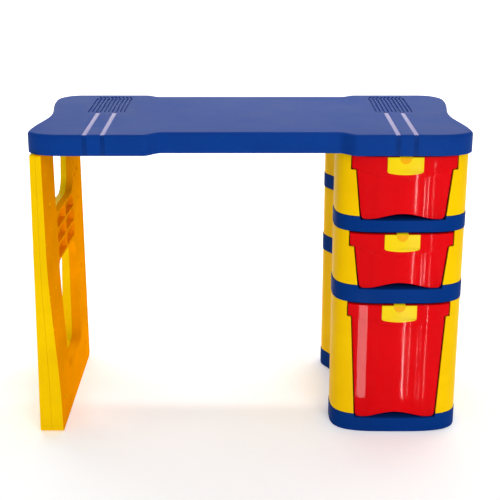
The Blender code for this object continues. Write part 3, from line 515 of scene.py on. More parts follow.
class Moulding:
    """A solid that is joined, cut and rounded in order, and then becomes one shown piece."""

    def __init__(self, mesh):
        self.item = bpy.data.objects.new("moulding", mesh)
        bpy.context.scene.collection.objects.link(self.item)
        self.tools = []

    def change(self, mesh, operation):
        tool = mesh if isinstance(mesh, Moulding) else Moulding(mesh)
        modifier = self.item.modifiers.new(operation.lower(), "BOOLEAN")
        modifier.operation = operation
        modifier.object = tool.item
        self.tools.append(tool)
        return self

    def join(self, mesh):
        return self.change(mesh, "UNION")

    def cut(self, mesh):
        return self.change(mesh, "DIFFERENCE")

    def keep(self, mesh):
        return self.change(mesh, "INTERSECT")

    def soften(self, width, segments=2, angle=40):
        """Rounds every edge that turns by more than the angle."""
        modifier = self.item.modifiers.new("rounding", "BEVEL")
        modifier.width = width
        modifier.segments = segments
        modifier.limit_method = "ANGLE"
        modifier.angle_limit = math.radians(angle)
        modifier.use_clamp_overlap = False
        return self

    def clear(self):
        for tool in self.tools:
            tool.clear()
        bpy.data.objects.remove(self.item)

    def piece(self, name, place, materials, slot, body, *nodes):
        """The finished mesh as a shown object that stands for its CAD nodes."""
        bpy.context.view_layer.update()
        graph = bpy.context.evaluated_depsgraph_get()
        mesh = bpy.data.meshes.new_from_object(self.item.evaluated_get(graph))
        self.clear()
        if not mesh.polygons:
            raise RuntimeError(f"{name} lost all its faces in a join or a cut")
        mesh.name = name
        mesh.materials.clear()
        for material in materials:
            mesh.materials.append(material)
        mesh.shade_smooth()
        mesh.set_sharp_from_angle(angle=math.radians(42))
        item = bpy.data.objects.new(name, mesh)
        item.location = place
        bpy.context.scene.collection.objects.link(item)
        even = item.modifiers.new("even shading", "WEIGHTED_NORMAL")
        even.keep_sharp = True
        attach(item, body)
        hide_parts(*nodes)
        return item


# ---------------------------------------------------------------- plastics


class Nodes:
    """Adds nodes to one material and links them."""

    def __init__(self, name):
        self.material = bpy.data.materials.new(name)
        self.material.use_nodes = True
        self.tree = self.material.node_tree
        self.shader = self.tree.nodes["Principled BSDF"]
        self.place = self.add("ShaderNodeTexCoord").outputs["Object"]

    def add(self, kind, **settings):
        node = self.tree.nodes.new(kind)
        for key, value in settings.items():
            if key in node.inputs:
                node.inputs[key].default_value = value
            else:
                setattr(node, key, value)
        return node

    def link(self, source, target):
        self.tree.links.new(source, target)

    def noise(self, scale, detail=2.0, stretch=None):
        """A noise field over the object's own space, stretched along an axis if asked."""
        texture = self.add("ShaderNodeTexNoise", Scale=scale, Detail=detail)
        if stretch:
            mapping = self.add("ShaderNodeMapping", Scale=stretch)
            self.link(self.place, mapping.inputs["Vector"])
            self.link(mapping.outputs["Vector"], texture.inputs["Vector"])
        else:
            self.link(self.place, texture.inputs["Vector"])
        return texture.outputs["Fac"]

    def spread(self, value, low, high, start=0.3, end=0.7):
        """Maps a field to a range."""
        node = self.add("ShaderNodeMapRange")
        node.inputs["From Min"].default_value = start
        node.inputs["From Max"].default_value = end
        node.inputs["To Min"].default_value = low
        node.inputs["To Max"].default_value = high
        self.link(value, node.inputs["Value"])
        return node.outputs["Result"]

    def total(self, first, second):
        """The sum of two fields."""
        node = self.add("ShaderNodeMath", operation="ADD")
        self.link(first, node.inputs[0])
        self.link(second, node.inputs[1])
        return node.outputs["Value"]

    def blend(self, amount, first, second):
        """Mixes two colours by a field. Each is a plain colour or another node's output."""
        node = self.add("ShaderNodeMix", data_type="RGBA")
        sockets = [socket for socket in node.inputs if socket.type == "RGBA"]
        for socket, colour in zip(sockets, (first, second)):
            if isinstance(colour, tuple):
                socket.default_value = (*colour, 1)
            else:
                self.link(colour, socket)
        self.link(amount, node.inputs[0])
        return [socket for socket in node.outputs if socket.type == "RGBA"][0]

    def bump(self, height, strength, distance, normal=None):
        """The normal of a surface raised by a field, over another bump where one is given."""
        node = self.add("ShaderNodeBump", Strength=strength, Distance=distance)
        self.link(height, node.inputs["Height"])
        if normal:
            self.link(normal, node.inputs["Normal"])
        return node.outputs["Normal"]


def shade(colour, factor):
    return tuple(min(value * factor, 1.0) for value in colour)


def moulded_plastic(name, colour, roughness, grain, cells, flow, shine):
    """Injection-moulded plastic: pigment flow marks, grain or polish, and faint scuffs."""
    make = Nodes(name)
    cloud = make.noise(scale=11.0, detail=4.0)
    streaks = make.total(make.noise(scale=1.6, detail=3.0, stretch=flow), cloud)
    tint = make.spread(streaks, 0.0, 1.0, start=0.75, end=1.25)
    base = make.blend(tint, shade(colour, 0.93), shade(colour, 1.06))
    scratches = make.noise(scale=140.0, detail=5.0, stretch=(1.0, 7.0, 1.0))
    scuffs = make.spread(scratches, 0.0, 1.0, start=0.60, end=0.72)
    worn = tuple(value * 0.9 + 0.035 for value in colour)
    faded = make.blend(make.spread(scuffs, 0.0, 0.12, start=0.0, end=1.0), base, worn)
    make.link(faded, make.shader.inputs["Base Color"])
    wander = make.spread(cloud, roughness - 0.03, roughness + 0.03)
    rubbed = make.spread(scuffs, 0.0, 0.06, start=0.0, end=1.0)
    make.link(make.total(wander, rubbed), make.shader.inputs["Roughness"])
    normal = make.bump(make.noise(scale=7.0, detail=1.0), 0.5, 0.0006)
    if grain:
        pits = make.add("ShaderNodeTexVoronoi", Scale=cells)
        make.link(make.place, pits.inputs["Vector"])
        relief = make.total(pits.outputs["Distance"], make.noise(scale=cells * 0.6))
        normal = make.bump(relief, 0.7, grain, normal)
    make.link(normal, make.shader.inputs["Normal"])
    make.shader.inputs["IOR"].default_value = 1.5
    make.shader.inputs["Specular IOR Level"].default_value = shine
    make.material.diffuse_color = (*colour, 1)
    return make.material


def zinc_plate(name):
    """Zinc-plated steel with a fine bumpy grain and dull patches."""
    make = Nodes(name)
    patches = make.noise(scale=300.0, detail=3.0)
    tone = make.blend(make.spread(patches, 0.0, 1.0), (0.42, 0.42, 0.43), (0.62, 0.62, 0.63))
    make.link(tone, make.shader.inputs["Base Color"])
    make.link(make.spread(patches, 0.28, 0.45), make.shader.inputs["Roughness"])
    make.link(make.bump(make.noise(scale=2500.0), 0.4, 0.00005), make.shader.inputs["Normal"])
    make.shader.inputs["Metallic"].default_value = 1.0
    return make.material


def floor_white(name):
    """A pale matt paint with a faint mottle."""
    make = Nodes(name)
    field = make.spread(make.noise(scale=3.0, detail=3.0), 0.0, 1.0)
    tone = make.blend(field, (FLOOR_SHADE,) * 3, (FLOOR_SHADE * 1.01,) * 3)
    make.link(tone, make.shader.inputs["Base Color"])
    make.shader.inputs["Roughness"].default_value = 0.9
    make.shader.inputs["Specular IOR Level"].default_value = 0.0
    make.shader.inputs["Emission Color"].default_value = (1, 1, 1, 1)
    make.shader.inputs["Emission Strength"].default_value = FLOOR_GLOW
    return make.material


def plastic(key):
    """The named plastic, made once from its recipe and the colour settings."""
    found = bpy.data.materials.get(key)
    if found:
        return found
    colours = bpy.context.scene.play_desk_colours
    setting, brightness, roughness, grain_share, flow, shine = PLASTICS[key]
    colour = shade(getattr(colours, setting), brightness)
    grain = colours.grain * grain_share
    return moulded_plastic(key, colour, roughness, grain, float(colours.grain_cells), flow, shine)


# ---------------------------------------------------------------- desktop


def desk_side_inset(y):
    """How far the desktop's side is drawn in at this depth."""
    reach = min(abs(y - SIDE_NOTCH_MIDDLE) / SIDE_NOTCH_REACH, 1.0)
    notch = SIDE_NOTCH_DEPTH * (1 + math.cos(math.pi * reach)) / 2
    return notch + BACK_TAPER * smooth((y - SIDE_NOTCH_MIDDLE) / SIDE_NOTCH_REACH)


def desk_outline():
    """The dog-bone shape of the desktop, seen from above, from the desk's middle."""
    front, back = DESK_LOW.y, DESK_HIGH.y
    right = [(0.0, front + FRONT_BAY_DEPTH)]
    right += s_curve((FRONT_BAY_HALF, front + FRONT_BAY_DEPTH), (FRONT_WING_START, front))
    corner = (DESK_HALF - FRONT_CORNER[0], front + FRONT_CORNER[1])
    right += arc(corner, FRONT_CORNER, -90, 0)
    for y in between(front + FRONT_CORNER[1], back - BACK_CORNER[1], 36):
        right.append((DESK_HALF - desk_side_inset(y), y))
    corner = (DESK_HALF - BACK_TAPER - BACK_CORNER[0], back - BACK_CORNER[1])
    right += arc(corner, BACK_CORNER, 0, 90)
    right += s_curve((BACK_WING_START, back), (BACK_BAY_HALF, back - BACK_BAY_DEPTH))
    right.append((0.0, back - BACK_BAY_DEPTH))
    return mirrored(right)


def stripe_spans(width):
    """Left and right edge of each stripe, from the desk's middle."""
    middle = PEDESTAL_X - DESK_X
    centres = [side * middle + step * STRIPE_SPACING for side in (-1, 1) for step in (-0.5, 0.5)]
    return [(centre - width / 2, centre + width / 2) for centre in centres]


def grille_slots(width):
    """Outlines of the long slots, and of the deeper vents across their back ends."""
    middle = PEDESTAL_X - DESK_X
    slot_end, vent_start, vent_end = SLOT_END - SLOT_END_GAP, SLOT_END - VENT_FRONT, SLOT_END + VENT_BACK
    slots, vents = [], []
    for side in (-1, 1):
        for i in range(SLOT_COUNT):
            centre = side * middle + (i - (SLOT_COUNT - 1) / 2) * SLOT_PITCH
            slots.append(stadium(centre - width / 2, centre + width / 2, SLOT_START, slot_end))
            if i < SLOT_COUNT - 1:
                vent = centre + SLOT_PITCH / 2
                vents.append(stadium(vent - VENT_HALF, vent + VENT_HALF, vent_start, vent_end))
    return slots, vents


def stripe_sheen_and_shade(mesh, sizes):
    """Gives the stripes' floors the second material on top, paler as a painted reflection, and the third down
    the skirt, darker as painted shade.
    """
    spans = stripe_spans(sizes.stripe_width)
    for polygon in mesh.polygons:
        x, y, z = polygon.center
        if not any(left < x < right for left, right in spans):
            continue
        on_top = y < STRIPE_END and GAP < DESK_HIGH.z - z < STRIPE_REACH
        if on_top and polygon.normal.z > 0.9:
            polygon.material_index = 1
        # Grooves down the skirt take the darkened third plastic: painted shade.
        elif GAP < y - DESK_LOW.y < STRIPE_REACH and polygon.normal.y < -0.9:
            polygon.material_index = 2


def stacked(outlines, levels):
    """A solid whose outline changes from level to level. Each outline has the same number of points."""
    mesh = bpy.data.meshes.new("stack")
    shape = bmesh.new()
    rings = [
        [shape.verts.new((x, y, level)) for x, y in outline] for outline, level in zip(outlines, levels)
    ]
    for lower, upper in zip(rings, rings[1:]):
        for i in range(len(lower)):
            shape.faces.new((lower[i - 1], lower[i], upper[i], upper[i - 1]))
    shape.faces.new(rings[-1])
    shape.faces.new(list(reversed(rings[0])))
    bmesh.ops.recalc_face_normals(shape, faces=shape.faces)
    shape.to_mesh(mesh)
    shape.free()
    return mesh


def filleted_slab(outline, fillet, lip):
    """The desktop's solid with a full fillet round its upper face and a small one round its lower edge."""
    turns = [math.radians(angle) for angle in between(0, 90, 8)]
    levels = [(DESK_LOW.z + lip * (1 - math.sin(t)), lip * (1 - math.cos(t))) for t in reversed(turns)]
    levels += [(DESK_HIGH.z - fillet * (1 - math.sin(t)), fillet * (1 - math.cos(t))) for t in turns]
    return stacked([offset(outline, inset) for _, inset in levels], [level for level, _ in levels])


def brace_underside(top, plate):
    """Ribs over the knee space, a boss for each pedestal screw, and a socket for each of the leg's tenons."""
    front = DESK_LOW.y + FRONT_BAY_DEPTH + SKIRT_WALL / 2
    back = DESK_HIGH.y - BACK_BAY_DEPTH - SKIRT_WALL / 2
    left = -DESK_HALF + SIDE_NOTCH_DEPTH + SKIRT_WALL / 2
    right = PEDESTAL_X - DESK_X - PEDESTAL_HALF - RIB_END_CLEARANCE
    low, high, half = plate - RIB_DEPTH, plate + GAP, RIB_WALL / 2
    for x in between(left, right, RIBS_ALONG + 1)[1:-1]:
        top.join(block((x - half, front, low), (x + half, back, high)))
    for y in between(front, back, RIBS_ACROSS + 1)[1:-1]:
        top.join(block((left, y - half, low - FLUSH), (right, y + half, high)))
    pilots = []
    for box in [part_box(f"pedestal_fixing_screw_{i}") for i in range(1, 5)]:
        x, y = (box[0].x + box[1].x) / 2 - DESK_X, (box[0].y + box[1].y) / 2
        top.join(rods([((x, y, DESK_LOW.z + FLUSH), (x, y, high))], BOSS_RADIUS))
        pilots.append(((x, y, DESK_LOW.z - PAST), (x, y, plate - 2 * GAP)))
    top.cut(rods(pilots, SCREW_HOLE))
    shift = Vector((-DESK_X, 0, 0))
    wall, space = Vector((RIB_WALL + GAP, RIB_WALL + GAP, 0)), Vector((GAP, GAP, 0))
    for tenon_low, tenon_high in tenon_boxes():
        low = Vector((*Vector(tenon_low).xy, DESK_LOW.z + FLUSH)) + shift
        high = Vector(tenon_high) + shift
        top.join(block(low - wall, high + wall + Vector((0, 0, 2 * GAP))))
        top.cut(block(low - space - Vector((0, 0, PAST)), high + space + Vector((0, 0, GAP / 2))))
    top.cut(rods([(Vector(start) + shift, Vector(end) + shift) for start, end in tenon_screws()], SCREW_HOLE))


def make_desktop(sizes):
    outline = desk_outline()
    plate = DESK_HIGH.z - TOP_PLATE
    top = Moulding(filleted_slab(outline, sizes.top_fillet, SKIRT_LIP))
    top.cut(flat_solid([offset(outline, SKIRT_WALL)], DESK_LOW.z - PAST, plate))
    brace_underside(top, plate)
    front, depth, half_fillet = DESK_LOW.y, sizes.stripe_depth, sizes.top_fillet / 2
    spans = stripe_spans(sizes.stripe_width)
    runs = [rectangle((left, front + half_fillet), (right, STRIPE_END)) for left, right in spans]
    falls = [rectangle((left, front - PAST), (right, front + depth)) for left, right in spans]
    top.cut(flat_solid(runs, DESK_HIGH.z - depth, DESK_HIGH.z + PAST))
    top.cut(flat_solid(falls, DESK_LOW.z - PAST, DESK_HIGH.z - half_fillet))
    slots, vents = grille_slots(sizes.slot_width)
    top.cut(flat_solid(slots, DESK_HIGH.z - SLOT_DEPTH, DESK_HIGH.z + PAST))
    top.cut(flat_solid(vents, DESK_HIGH.z - VENT_DEPTH, DESK_HIGH.z + PAST))
    # The stripes' second plastic is a painted reflection, and their third is painted shade.
    materials = [plastic("grained_blue"), plastic("pale_stripe"), plastic("deep_blue")]
    piece = top.piece("desktop_moulding", (DESK_X, 0, 0), materials, "blue_plastic", "frame", "desktop")
    stripe_sheen_and_shade(piece.data, sizes)


# ---------------------------------------------------------------- leg panel


def leg_outer_x(y, z):
    """Outer face of the leg. It leans out towards the foot."""
    share = (y - LEG_LOW.y) / (LEG_HIGH.y - LEG_LOW.y)
    overhang = DESK_LOW.x - LEG_LOW.x
    inset = LEG_TOP_INSET + (LEG_BACK_TOP_INSET - LEG_TOP_INSET) * share + overhang
    return LEG_LOW.x + inset * min(max(z / LEG_HIGH.z, 0), 1)


def leg_inner_x(y, z):
    """Inner face of the leg. Its front edge flares inwards over the lower half."""
    foot = LEG_LOW.x + LEG_FOOT_THICKNESS
    top = DESK_LOW.x + LEG_TOP_INSET + LEG_TOP_THICKNESS
    share = (y - LEG_LOW.y) / (LEG_HIGH.y - LEG_LOW.y)
    front = foot + (top - foot) * smooth((z - FLARE_BOTTOM) / (FLARE_TOP - FLARE_BOTTOM))
    return front + (foot - front) * share


def leg_split_x(y, z):
    """The joint between the leg's two shells."""
    return (leg_outer_x(y, z) + leg_inner_x(y, z)) / 2


def moved(surface, distance):
    """The same surface, further along X."""
    return lambda y, z: surface(y, z) + distance


def leg_slab(near, far):
    """Solid between two surfaces that give X at each depth and height, past the leg's edges."""
    shape = bmesh.new()
    bmesh.ops.create_grid(shape, x_segments=6, y_segments=28, size=0.5)
    bmesh.ops.triangulate(shape, faces=shape.faces)
    for vert in shape.verts:
        y = LEG_LOW.y - PAST + (vert.co.x + 0.5) * (LEG_HIGH.y - LEG_LOW.y + 2 * PAST)
        z = -PAST + (vert.co.y + 0.5) * (LEG_HIGH.z + 2 * PAST)
        vert.co = (near(y, z), y, z)
    grown = bmesh.ops.extrude_face_region(shape, geom=list(shape.faces))
    for vert in grown["geom"]:
        if isinstance(vert, bmesh.types.BMVert):
            vert.co.x = far(vert.co.y, vert.co.z)
    bmesh.ops.recalc_face_normals(shape, faces=shape.faces)
    mesh = bpy.data.meshes.new("slab")
    shape.to_mesh(mesh)
    shape.free()
    return mesh


def leg_outlines(inset=0.0):
    """Side view of the leg in Y and Z: two posts, a web between them and a foot rail."""
    front_post = LEG_LOW.y + FRONT_POST
    back_post = LEG_HIGH.y - BACK_POST
    low, high = (LEG_LOW.y, 0.0), (LEG_HIGH.y, LEG_HIGH.z)
    edge = rounded(
        [
            low, (high[0], 0.0), high, (back_post, high[1]), (back_post, WEB_TOP),
            (front_post, WEB_TOP), (front_post, high[1]), (low[0], high[1]),
        ],
        EDGE_RADII,
    )
    window = rounded(
        [
            (front_post, WINDOW_BOTTOM), (back_post, WINDOW_BOTTOM),
            (back_post, WEB_BOTTOM), (front_post, WEB_BOTTOM),
        ],
        WINDOW_RADII,
        14,
    )
    return [offset(edge, inset), offset(window, -inset)]


def web_pockets():
    """Shallow pockets in two columns and three rows over the web."""
    low_y = LEG_LOW.y + FRONT_POST + POCKET_RIB
    low_z = WEB_BOTTOM + POCKET_RIB
    width = (LEG_HIGH.y - BACK_POST - low_y) / 2
    height = (WEB_TOP - low_z) / 3
    pockets = []
    for column in range(2):
        for row in range(3):
            y, z = low_y + column * width, low_z + row * height
            radii = [POCKET_CORNER] * 4
            if column == 1 and row == 0:
                radii[1] = POCKET_LOW_CORNER
            if column == 1 and row == 2:
                radii[2] = POCKET_HIGH_CORNER
            corners = rectangle((y, z), (y + width - POCKET_RIB, z + height - POCKET_RIB))
            pockets.append(rounded(corners, radii, 6))
    return pockets


def screw_centres():
    """Depth and height of the six shell screws, from the frame."""
    boxes = [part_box(f"leg_shell_screw_{i}") for i in range(1, 7)]
    return [((low.y + high.y) / 2, (low.z + high.z) / 2) for low, high in boxes]


def round_far_edges(item, face, width):
    """Rounds a shell's sharp edges along one face of the leg, and leaves those at the joint as they are."""
    shape = bmesh.new()
    shape.from_mesh(item.data)
    weight = shape.edges.layers.float.new("bevel_weight_edge")
    for edge in shape.edges:
        middle = (edge.verts[0].co + edge.verts[1].co) / 2
        sharp = len(edge.link_faces) == 2 and edge.calc_face_angle() > math.radians(60)
        if sharp and abs(middle.x - face(middle.y, middle.z)) < EDGE_REACH:
            edge[weight] = 1.0
    shape.to_mesh(item.data)
    shape.free()
    rounding = item.modifiers.new("rounding", "BEVEL")
    rounding.limit_method = "WEIGHT"
    rounding.width = width
    rounding.segments = 3
    item.modifiers.move(len(item.modifiers) - 1, 0)


def leg_shell(moulding, side, face, sizes):
    """One shell of the leg as a shown piece, with the edges along its own face rounded."""
    names = (f"leg_{side}_moulding", f"leg_{side}_shell")
    # The second plastic, used on faces of the inner shell, is painted shade.
    yellows = [plastic("satin_yellow"), plastic("amber_yellow")]
    shell = moulding.piece(names[0], (0, 0, 0), yellows, "yellow_plastic", "frame", names[1])
    round_far_edges(shell, face, sizes.leg_edge)
    return shell


def make_leg(sizes):
    half = GAP / 2
    outer = Moulding(leg_slab(leg_outer_x, moved(leg_split_x, -half)))
    outer.keep(flat_solid(leg_outlines(), *LEG_SPAN, "YZ"))
    hollow = Moulding(leg_slab(moved(leg_outer_x, LEG_WALL), moved(leg_split_x, LEG_WALL)))
    outer.cut(hollow.keep(flat_solid(leg_outlines(LEG_WALL), *LEG_SPAN, "YZ")))
    leg_shell(outer, "outer", leg_outer_x, sizes)
    inner = Moulding(leg_slab(moved(leg_split_x, half), leg_inner_x))
    inner.keep(flat_solid(leg_outlines(), *LEG_SPAN, "YZ"))
    pockets = Moulding(leg_slab(moved(leg_split_x, LEG_WALL), moved(leg_inner_x, PAST)))
    inner.cut(pockets.keep(flat_solid(web_pockets(), *LEG_SPAN, "YZ")))
    marks, wells = [], []
    for step, z in PIN_MARKS:
        y = step + DESK_LOW.y
        face = leg_inner_x(y, z)
        marks.append(((face - PIN_DEPTH, y, z), (face + PAST, y, z)))
    for y, z in screw_centres():
        wells.append(((leg_split_x(y, z) + WELL_FLOOR, y, z), (leg_inner_x(y, z) + PAST, y, z)))
    inner.cut(rods(marks, sizes.pin_radius))
    inner.cut(rods(wells, WELL_RADIUS))
    for low, high in tenon_boxes():
        inner.join(block(low, high))
    inner.cut(rods(tenon_screws(), SCREW_HOLE))
    shell = leg_shell(inner, "inner", leg_inner_x, sizes)
    # Faces towards the knee space, upward faces and the back post's front faces take the orange second
    # plastic: painted shade.
    for polygon in shell.data.polygons:
        normal = polygon.normal
        back_post = normal.y < -0.5 and polygon.center.y > 0
        if normal.x > 0.5 or normal.z > 0.5 or back_post:
            polygon.material_index = 1


def tenon_boxes():
    """The two tenons that stand in the desktop's sockets, one behind each fixing screw's seat."""
    boxes = []
    for where in ("front", "rear"):
        low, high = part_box(f"leg_{where}_fixing_screw")
        middle = (low.y + high.y) / 2
        left = max(leg_split_x(middle + side * TENON_HALF, LEG_HIGH.z) for side in (-1, 1)) + 2 * GAP
        right = min(leg_inner_x(middle + side * TENON_HALF, LEG_HIGH.z) for side in (-1, 1)) - 2 * GAP
        corner = (left, middle - TENON_HALF, LEG_HIGH.z - LEG_WALL)
        boxes.append((corner, (right, middle + TENON_HALF, TENON_TOP)))
    return boxes


def tenon_screws():
    """Ends of the holes that the fixing screws take through the tenons and the walls of their sockets."""
    ends = []
    for where in ("front", "rear"):
        low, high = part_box(f"leg_{where}_fixing_screw")
        y, z = (low.y + high.y) / 2, (low.z + high.z) / 2
        ends.append(((low.x - GAP, y, z), (low.x + 2 * SCREW_REACH, y, z)))
    return ends


# ---------------------------------------------------------------- pedestal


def nose_line(x, setback=0.0):
    """Depth of the pedestal's bowed front at this distance from its middle."""
    share = min(abs(x) / PEDESTAL_HALF, 1.0) ** NOSE_POWER
    return BASE_LOW.y + setback + NOSE * (1 - (1 - share) ** (1 / NOSE_POWER))


def pedestal_outline():
    """The pedestal from above: bowed nose, a waist in each side and rounded back corners."""
    right = []
    for angle in between(0, 90, 40):
        t = math.radians(angle)
        across = PEDESTAL_HALF * math.sin(t) ** (2 / NOSE_POWER)
        right.append((across, BASE_LOW.y + NOSE * (1 - max(math.cos(t), 0) ** (2 / NOSE_POWER))))
    ramp_in = BASE_LOW.y + NOSE
    ramp_out = BASE_HIGH.y - BACK_LOBE
    for t in between(0, 1, 18):
        right.append((PEDESTAL_HALF - WAIST_DEPTH * smooth(t), ramp_in + WAIST_FRONT_RAMP * t))
    for t in between(1, 0, 18):
        right.append((PEDESTAL_HALF - WAIST_DEPTH * smooth(t), ramp_out - WAIST_BACK_RAMP * t))
    corner = (PEDESTAL_HALF - BACK_CORNER_RADIUS, BASE_HIGH.y - BACK_CORNER_RADIUS)
    right += arc(corner, (BACK_CORNER_RADIUS, BACK_CORNER_RADIUS), 0, 90)
    right.append((0.0, BASE_HIGH.y))
    return mirrored(right)


def make_band(name, node):
    """A blue band with a plate and a drawer's tray inside its upper edge, open below."""
    low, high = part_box(node)
    height = high.z - low.z
    outline = pedestal_outline()
    band = Moulding(flat_solid([outline], 0, height)).soften(BAND_EDGE, 3, 60)
    plate = height - TRAY_DEPTH - SHELF_PLATE
    band.cut(flat_solid([offset(outline, BAND_WALL)], -PAST, plate))
    tray = bin_bottom_half() + TRAY_CLEARANCE
    tray_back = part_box("lower_back_panel")[0].y - TRAY_BACK_GAP
    band.cut(block((-tray, BASE_LOW.y - PAST, height - TRAY_DEPTH), (tray, tray_back, height + PAST)))
    if node == "pedestal_base":
        half = PEDESTAL_HALF - WAIST_DEPTH - BAND_WALL / 2
        for y in (-BASE_RIB_SPACING, 0.0, BASE_RIB_SPACING):
            band.join(block((-half, y - RIB_WALL / 2, 0), (half, y + RIB_WALL / 2, plate + GAP)))
    place = (PEDESTAL_X, 0, low.z)
    # The bands take the darkened blue: painted shade.
    band.piece(name, place, [plastic("band_blue")], "blue_plastic", "frame", node)


def tier_span(tier):
    """Level and height of a tier, between the bands or under the desktop."""
    index = TIER_NAMES.index(tier)
    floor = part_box(("pedestal_base", "lower_shelf", "upper_shelf")[index])[1].z
    ceiling = (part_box("lower_shelf")[0].z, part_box("upper_shelf")[0].z, DESK_LOW.z)[index]
    return floor, ceiling - floor


def side_path(inset, side, front_x, back_x):
    """The pedestal's outline on one side, moved in, from front_x on the front to back_x on the back."""
    path = [(x, y) for x, y in offset(pedestal_outline(), inset) if x > (front_x if y < 0 else back_x)]
    path = [(front_x, path[0][1])] + path + [(back_x, path[-1][1])]
    return [(side * x, y) for x, y in path]


def make_wall(tier, hand, side):
    """One side of a tier, with the stepped mouth that frames its drawer."""
    level, height = tier_span(tier)
    top = rim_top(tier)
    rail = top - FLANGE_THICKNESS - GAP
    half = bin_bottom_half() - BIN_CORNER
    ends = (side, half, BACK_RETURN)
    wall = Moulding(flat_solid([side_path(BAND_PROUD, *ends)], GAP, height - GAP))
    inner = side_path(BAND_PROUD + PANEL_WALL, *ends)
    hollow = inner + [(0, inner[-1][1]), (0, inner[0][1])]
    wall.cut(flat_solid([hollow], GAP + PANEL_FLANGE, rail - RAIL_THICKNESS))
    wall.cut(flat_solid([hollow], rail, height - GAP - PANEL_FLANGE))
    mouth = opening_outline(tier, top - RIM_END_HEIGHT - OPENING_CLEARANCE, OPENING_CLEARANCE, height)
    wall.cut(flat_solid([mouth], BASE_LOW.y - PAST, BASE_LOW.y + OPENING_FRAME, "XZ"))
    tunnel = opening_outline(tier, rail, BIN_CLEARANCE, height)
    drawer_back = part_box(f"{tier}_drawer_bin")[1].y
    wall.cut(flat_solid([tunnel], BASE_LOW.y - 2 * PAST, drawer_back + DRAWER_BACK_GAP, "XZ"))
    panel_low, panel_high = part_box(f"{tier}_back_panel")
    reach = (panel_high.x - panel_low.x) / 2 + GAP
    back_face = BASE_HIGH.y - PANEL_WALL - BAND_PROUD
    wall.cut(block((-reach, panel_low.y - GAP, -2 * PAST), (reach, back_face, height + 2 * PAST)))
    tunnel_half = rim_half() + OPENING_CLEARANCE
    low, high = (-tunnel_half, drawer_back, -2 * PAST), (tunnel_half, panel_low.y, height + 2 * PAST)
    wall.cut(block(low, high))
    node = f"{tier}_{hand}_side_panel"
    place = (PEDESTAL_X, 0, level)
    wall.soften(PANEL_EDGE, 2, 50)
    wall.piece(f"{tier}_{hand}_wall", place, [plastic("satin_yellow")], "yellow_plastic", "frame", node)


def make_back_board(tier):
    """The flat board in the back of a tier, with a pressed field inside a plain border."""
    low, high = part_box(f"{tier}_back_panel")
    middle = (low.x + high.x) / 2
    field = BACK_RETURN - FIELD_INSET
    board = Moulding(block((low.x - middle, low.y, low.z), (high.x - middle, high.y, high.z)))
    corners = rectangle((-field, low.z + FIELD_INSET), (field, high.z - FIELD_INSET))
    pressed = rounded(corners, [FIELD_CORNER] * 4)
    board.cut(flat_solid([pressed], high.y - FIELD_DEPTH, high.y + PAST, "XZ"))
    board.soften(BOARD_EDGE, 2, 50)
    place = (middle, 0, 0)
    node = f"{tier}_back_panel"
    board.piece(f"{tier}_back_board", place, [plastic("satin_yellow")], "yellow_plastic", "frame", node)


# ---------------------------------------------------------------- drawers


def rim_half():
    low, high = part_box("lower_drawer_bin")
    return (high.x - low.x) / 2


def bin_bottom_half():
    return rim_half() - FLANGE_WIDTH - BIN_TAPER


def rim_top(tier):
    """Height of a drawer's rim above its tier's floor."""
    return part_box(f"{tier}_drawer_bin")[1].z - tier_span(tier)[0]


def drawer_dip(tier):
    """How far a drawer hangs below its tier's floor."""
    return tier_span(tier)[0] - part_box(f"{tier}_drawer_bin")[0].z


def bin_half(tier, z):
    """Half width of a bin's tapered body at a height above its tier's floor."""
    dip = drawer_dip(tier)
    return bin_bottom_half() + BIN_TAPER * (z + dip) / (rim_top(tier) + dip)


def opening_outline(tier, step_z, clearance, height):
    """Front view of the space a drawer slides through, wider above step_z where its rim passes."""
    low = -2 * drawer_dip(tier)
    wide = rim_half() + OPENING_CLEARANCE
    sides = [
        (bin_half(tier, low) + clearance, low),
        (bin_half(tier, step_z) + clearance, step_z),
        (wide, step_z),
        (wide, height + 2 * PAST),
    ]
    return sides + [(-x, z) for x, z in reversed(sides)]


def face_line(x, setback, hollow):
    """The bowed front with a shallow hollow between two soft ridges."""
    dished = hollow * (1 - smooth((abs(x) - HOLLOW_HALF) / HOLLOW_RAMP))
    return nose_line(x, setback) + dished


def face_strip(front, back, half):
    """Plan of a strip that follows the bowed front between two setbacks."""
    places = between(-half, half, 72)
    strip = [(x, nose_line(x, front)) for x in places]
    return strip + [(x, nose_line(x, back)) for x in reversed(places)]


def face_block(front, back, half, hollow=0.0):
    """Plan of a block with the bowed front and a straight back."""
    strip = [(x, face_line(x, front, hollow)) for x in between(-half, half, 72)]
    return strip + [(half, back), (-half, back)]


def wave_z(tier, x):
    """Underside of a bin: low at the corners and arched in the middle."""
    share = min(abs(x) / ARCH_HALF, 1.0)
    return -drawer_dip(tier) + ARCH_HEIGHT * (1 + math.cos(math.pi * share)) / 2


def bin_section(tier):
    """Front view of a bin's body."""
    bottom = bin_bottom_half()
    corner = (bottom - BIN_CORNER, BIN_CORNER - drawer_dip(tier))
    right = [(x, wave_z(tier, x)) for x in between(0, ARCH_HALF, 26)]
    right += arc(corner, (BIN_CORNER, BIN_CORNER), -90, 0, 8)
    right += [(bottom + BIN_TAPER, rim_top(tier) - FLANGE_THICKNESS / 2)]
    return mirrored(right)


def bin_hollow(tier, height):
    """Front view of the space inside a bin, open past its top."""
    floor = ARCH_HEIGHT - drawer_dip(tier) + BIN_WALL
    low = bin_half(tier, floor) - BIN_WALL
    high = bin_half(tier, height) - BIN_WALL
    corners = [(-low, floor), (low, floor), (high, height), (-high, height)]
    nearly_sharp = 0.0001
    return rounded(corners, [BIN_CORNER, BIN_CORNER, nearly_sharp, nearly_sharp], 8)


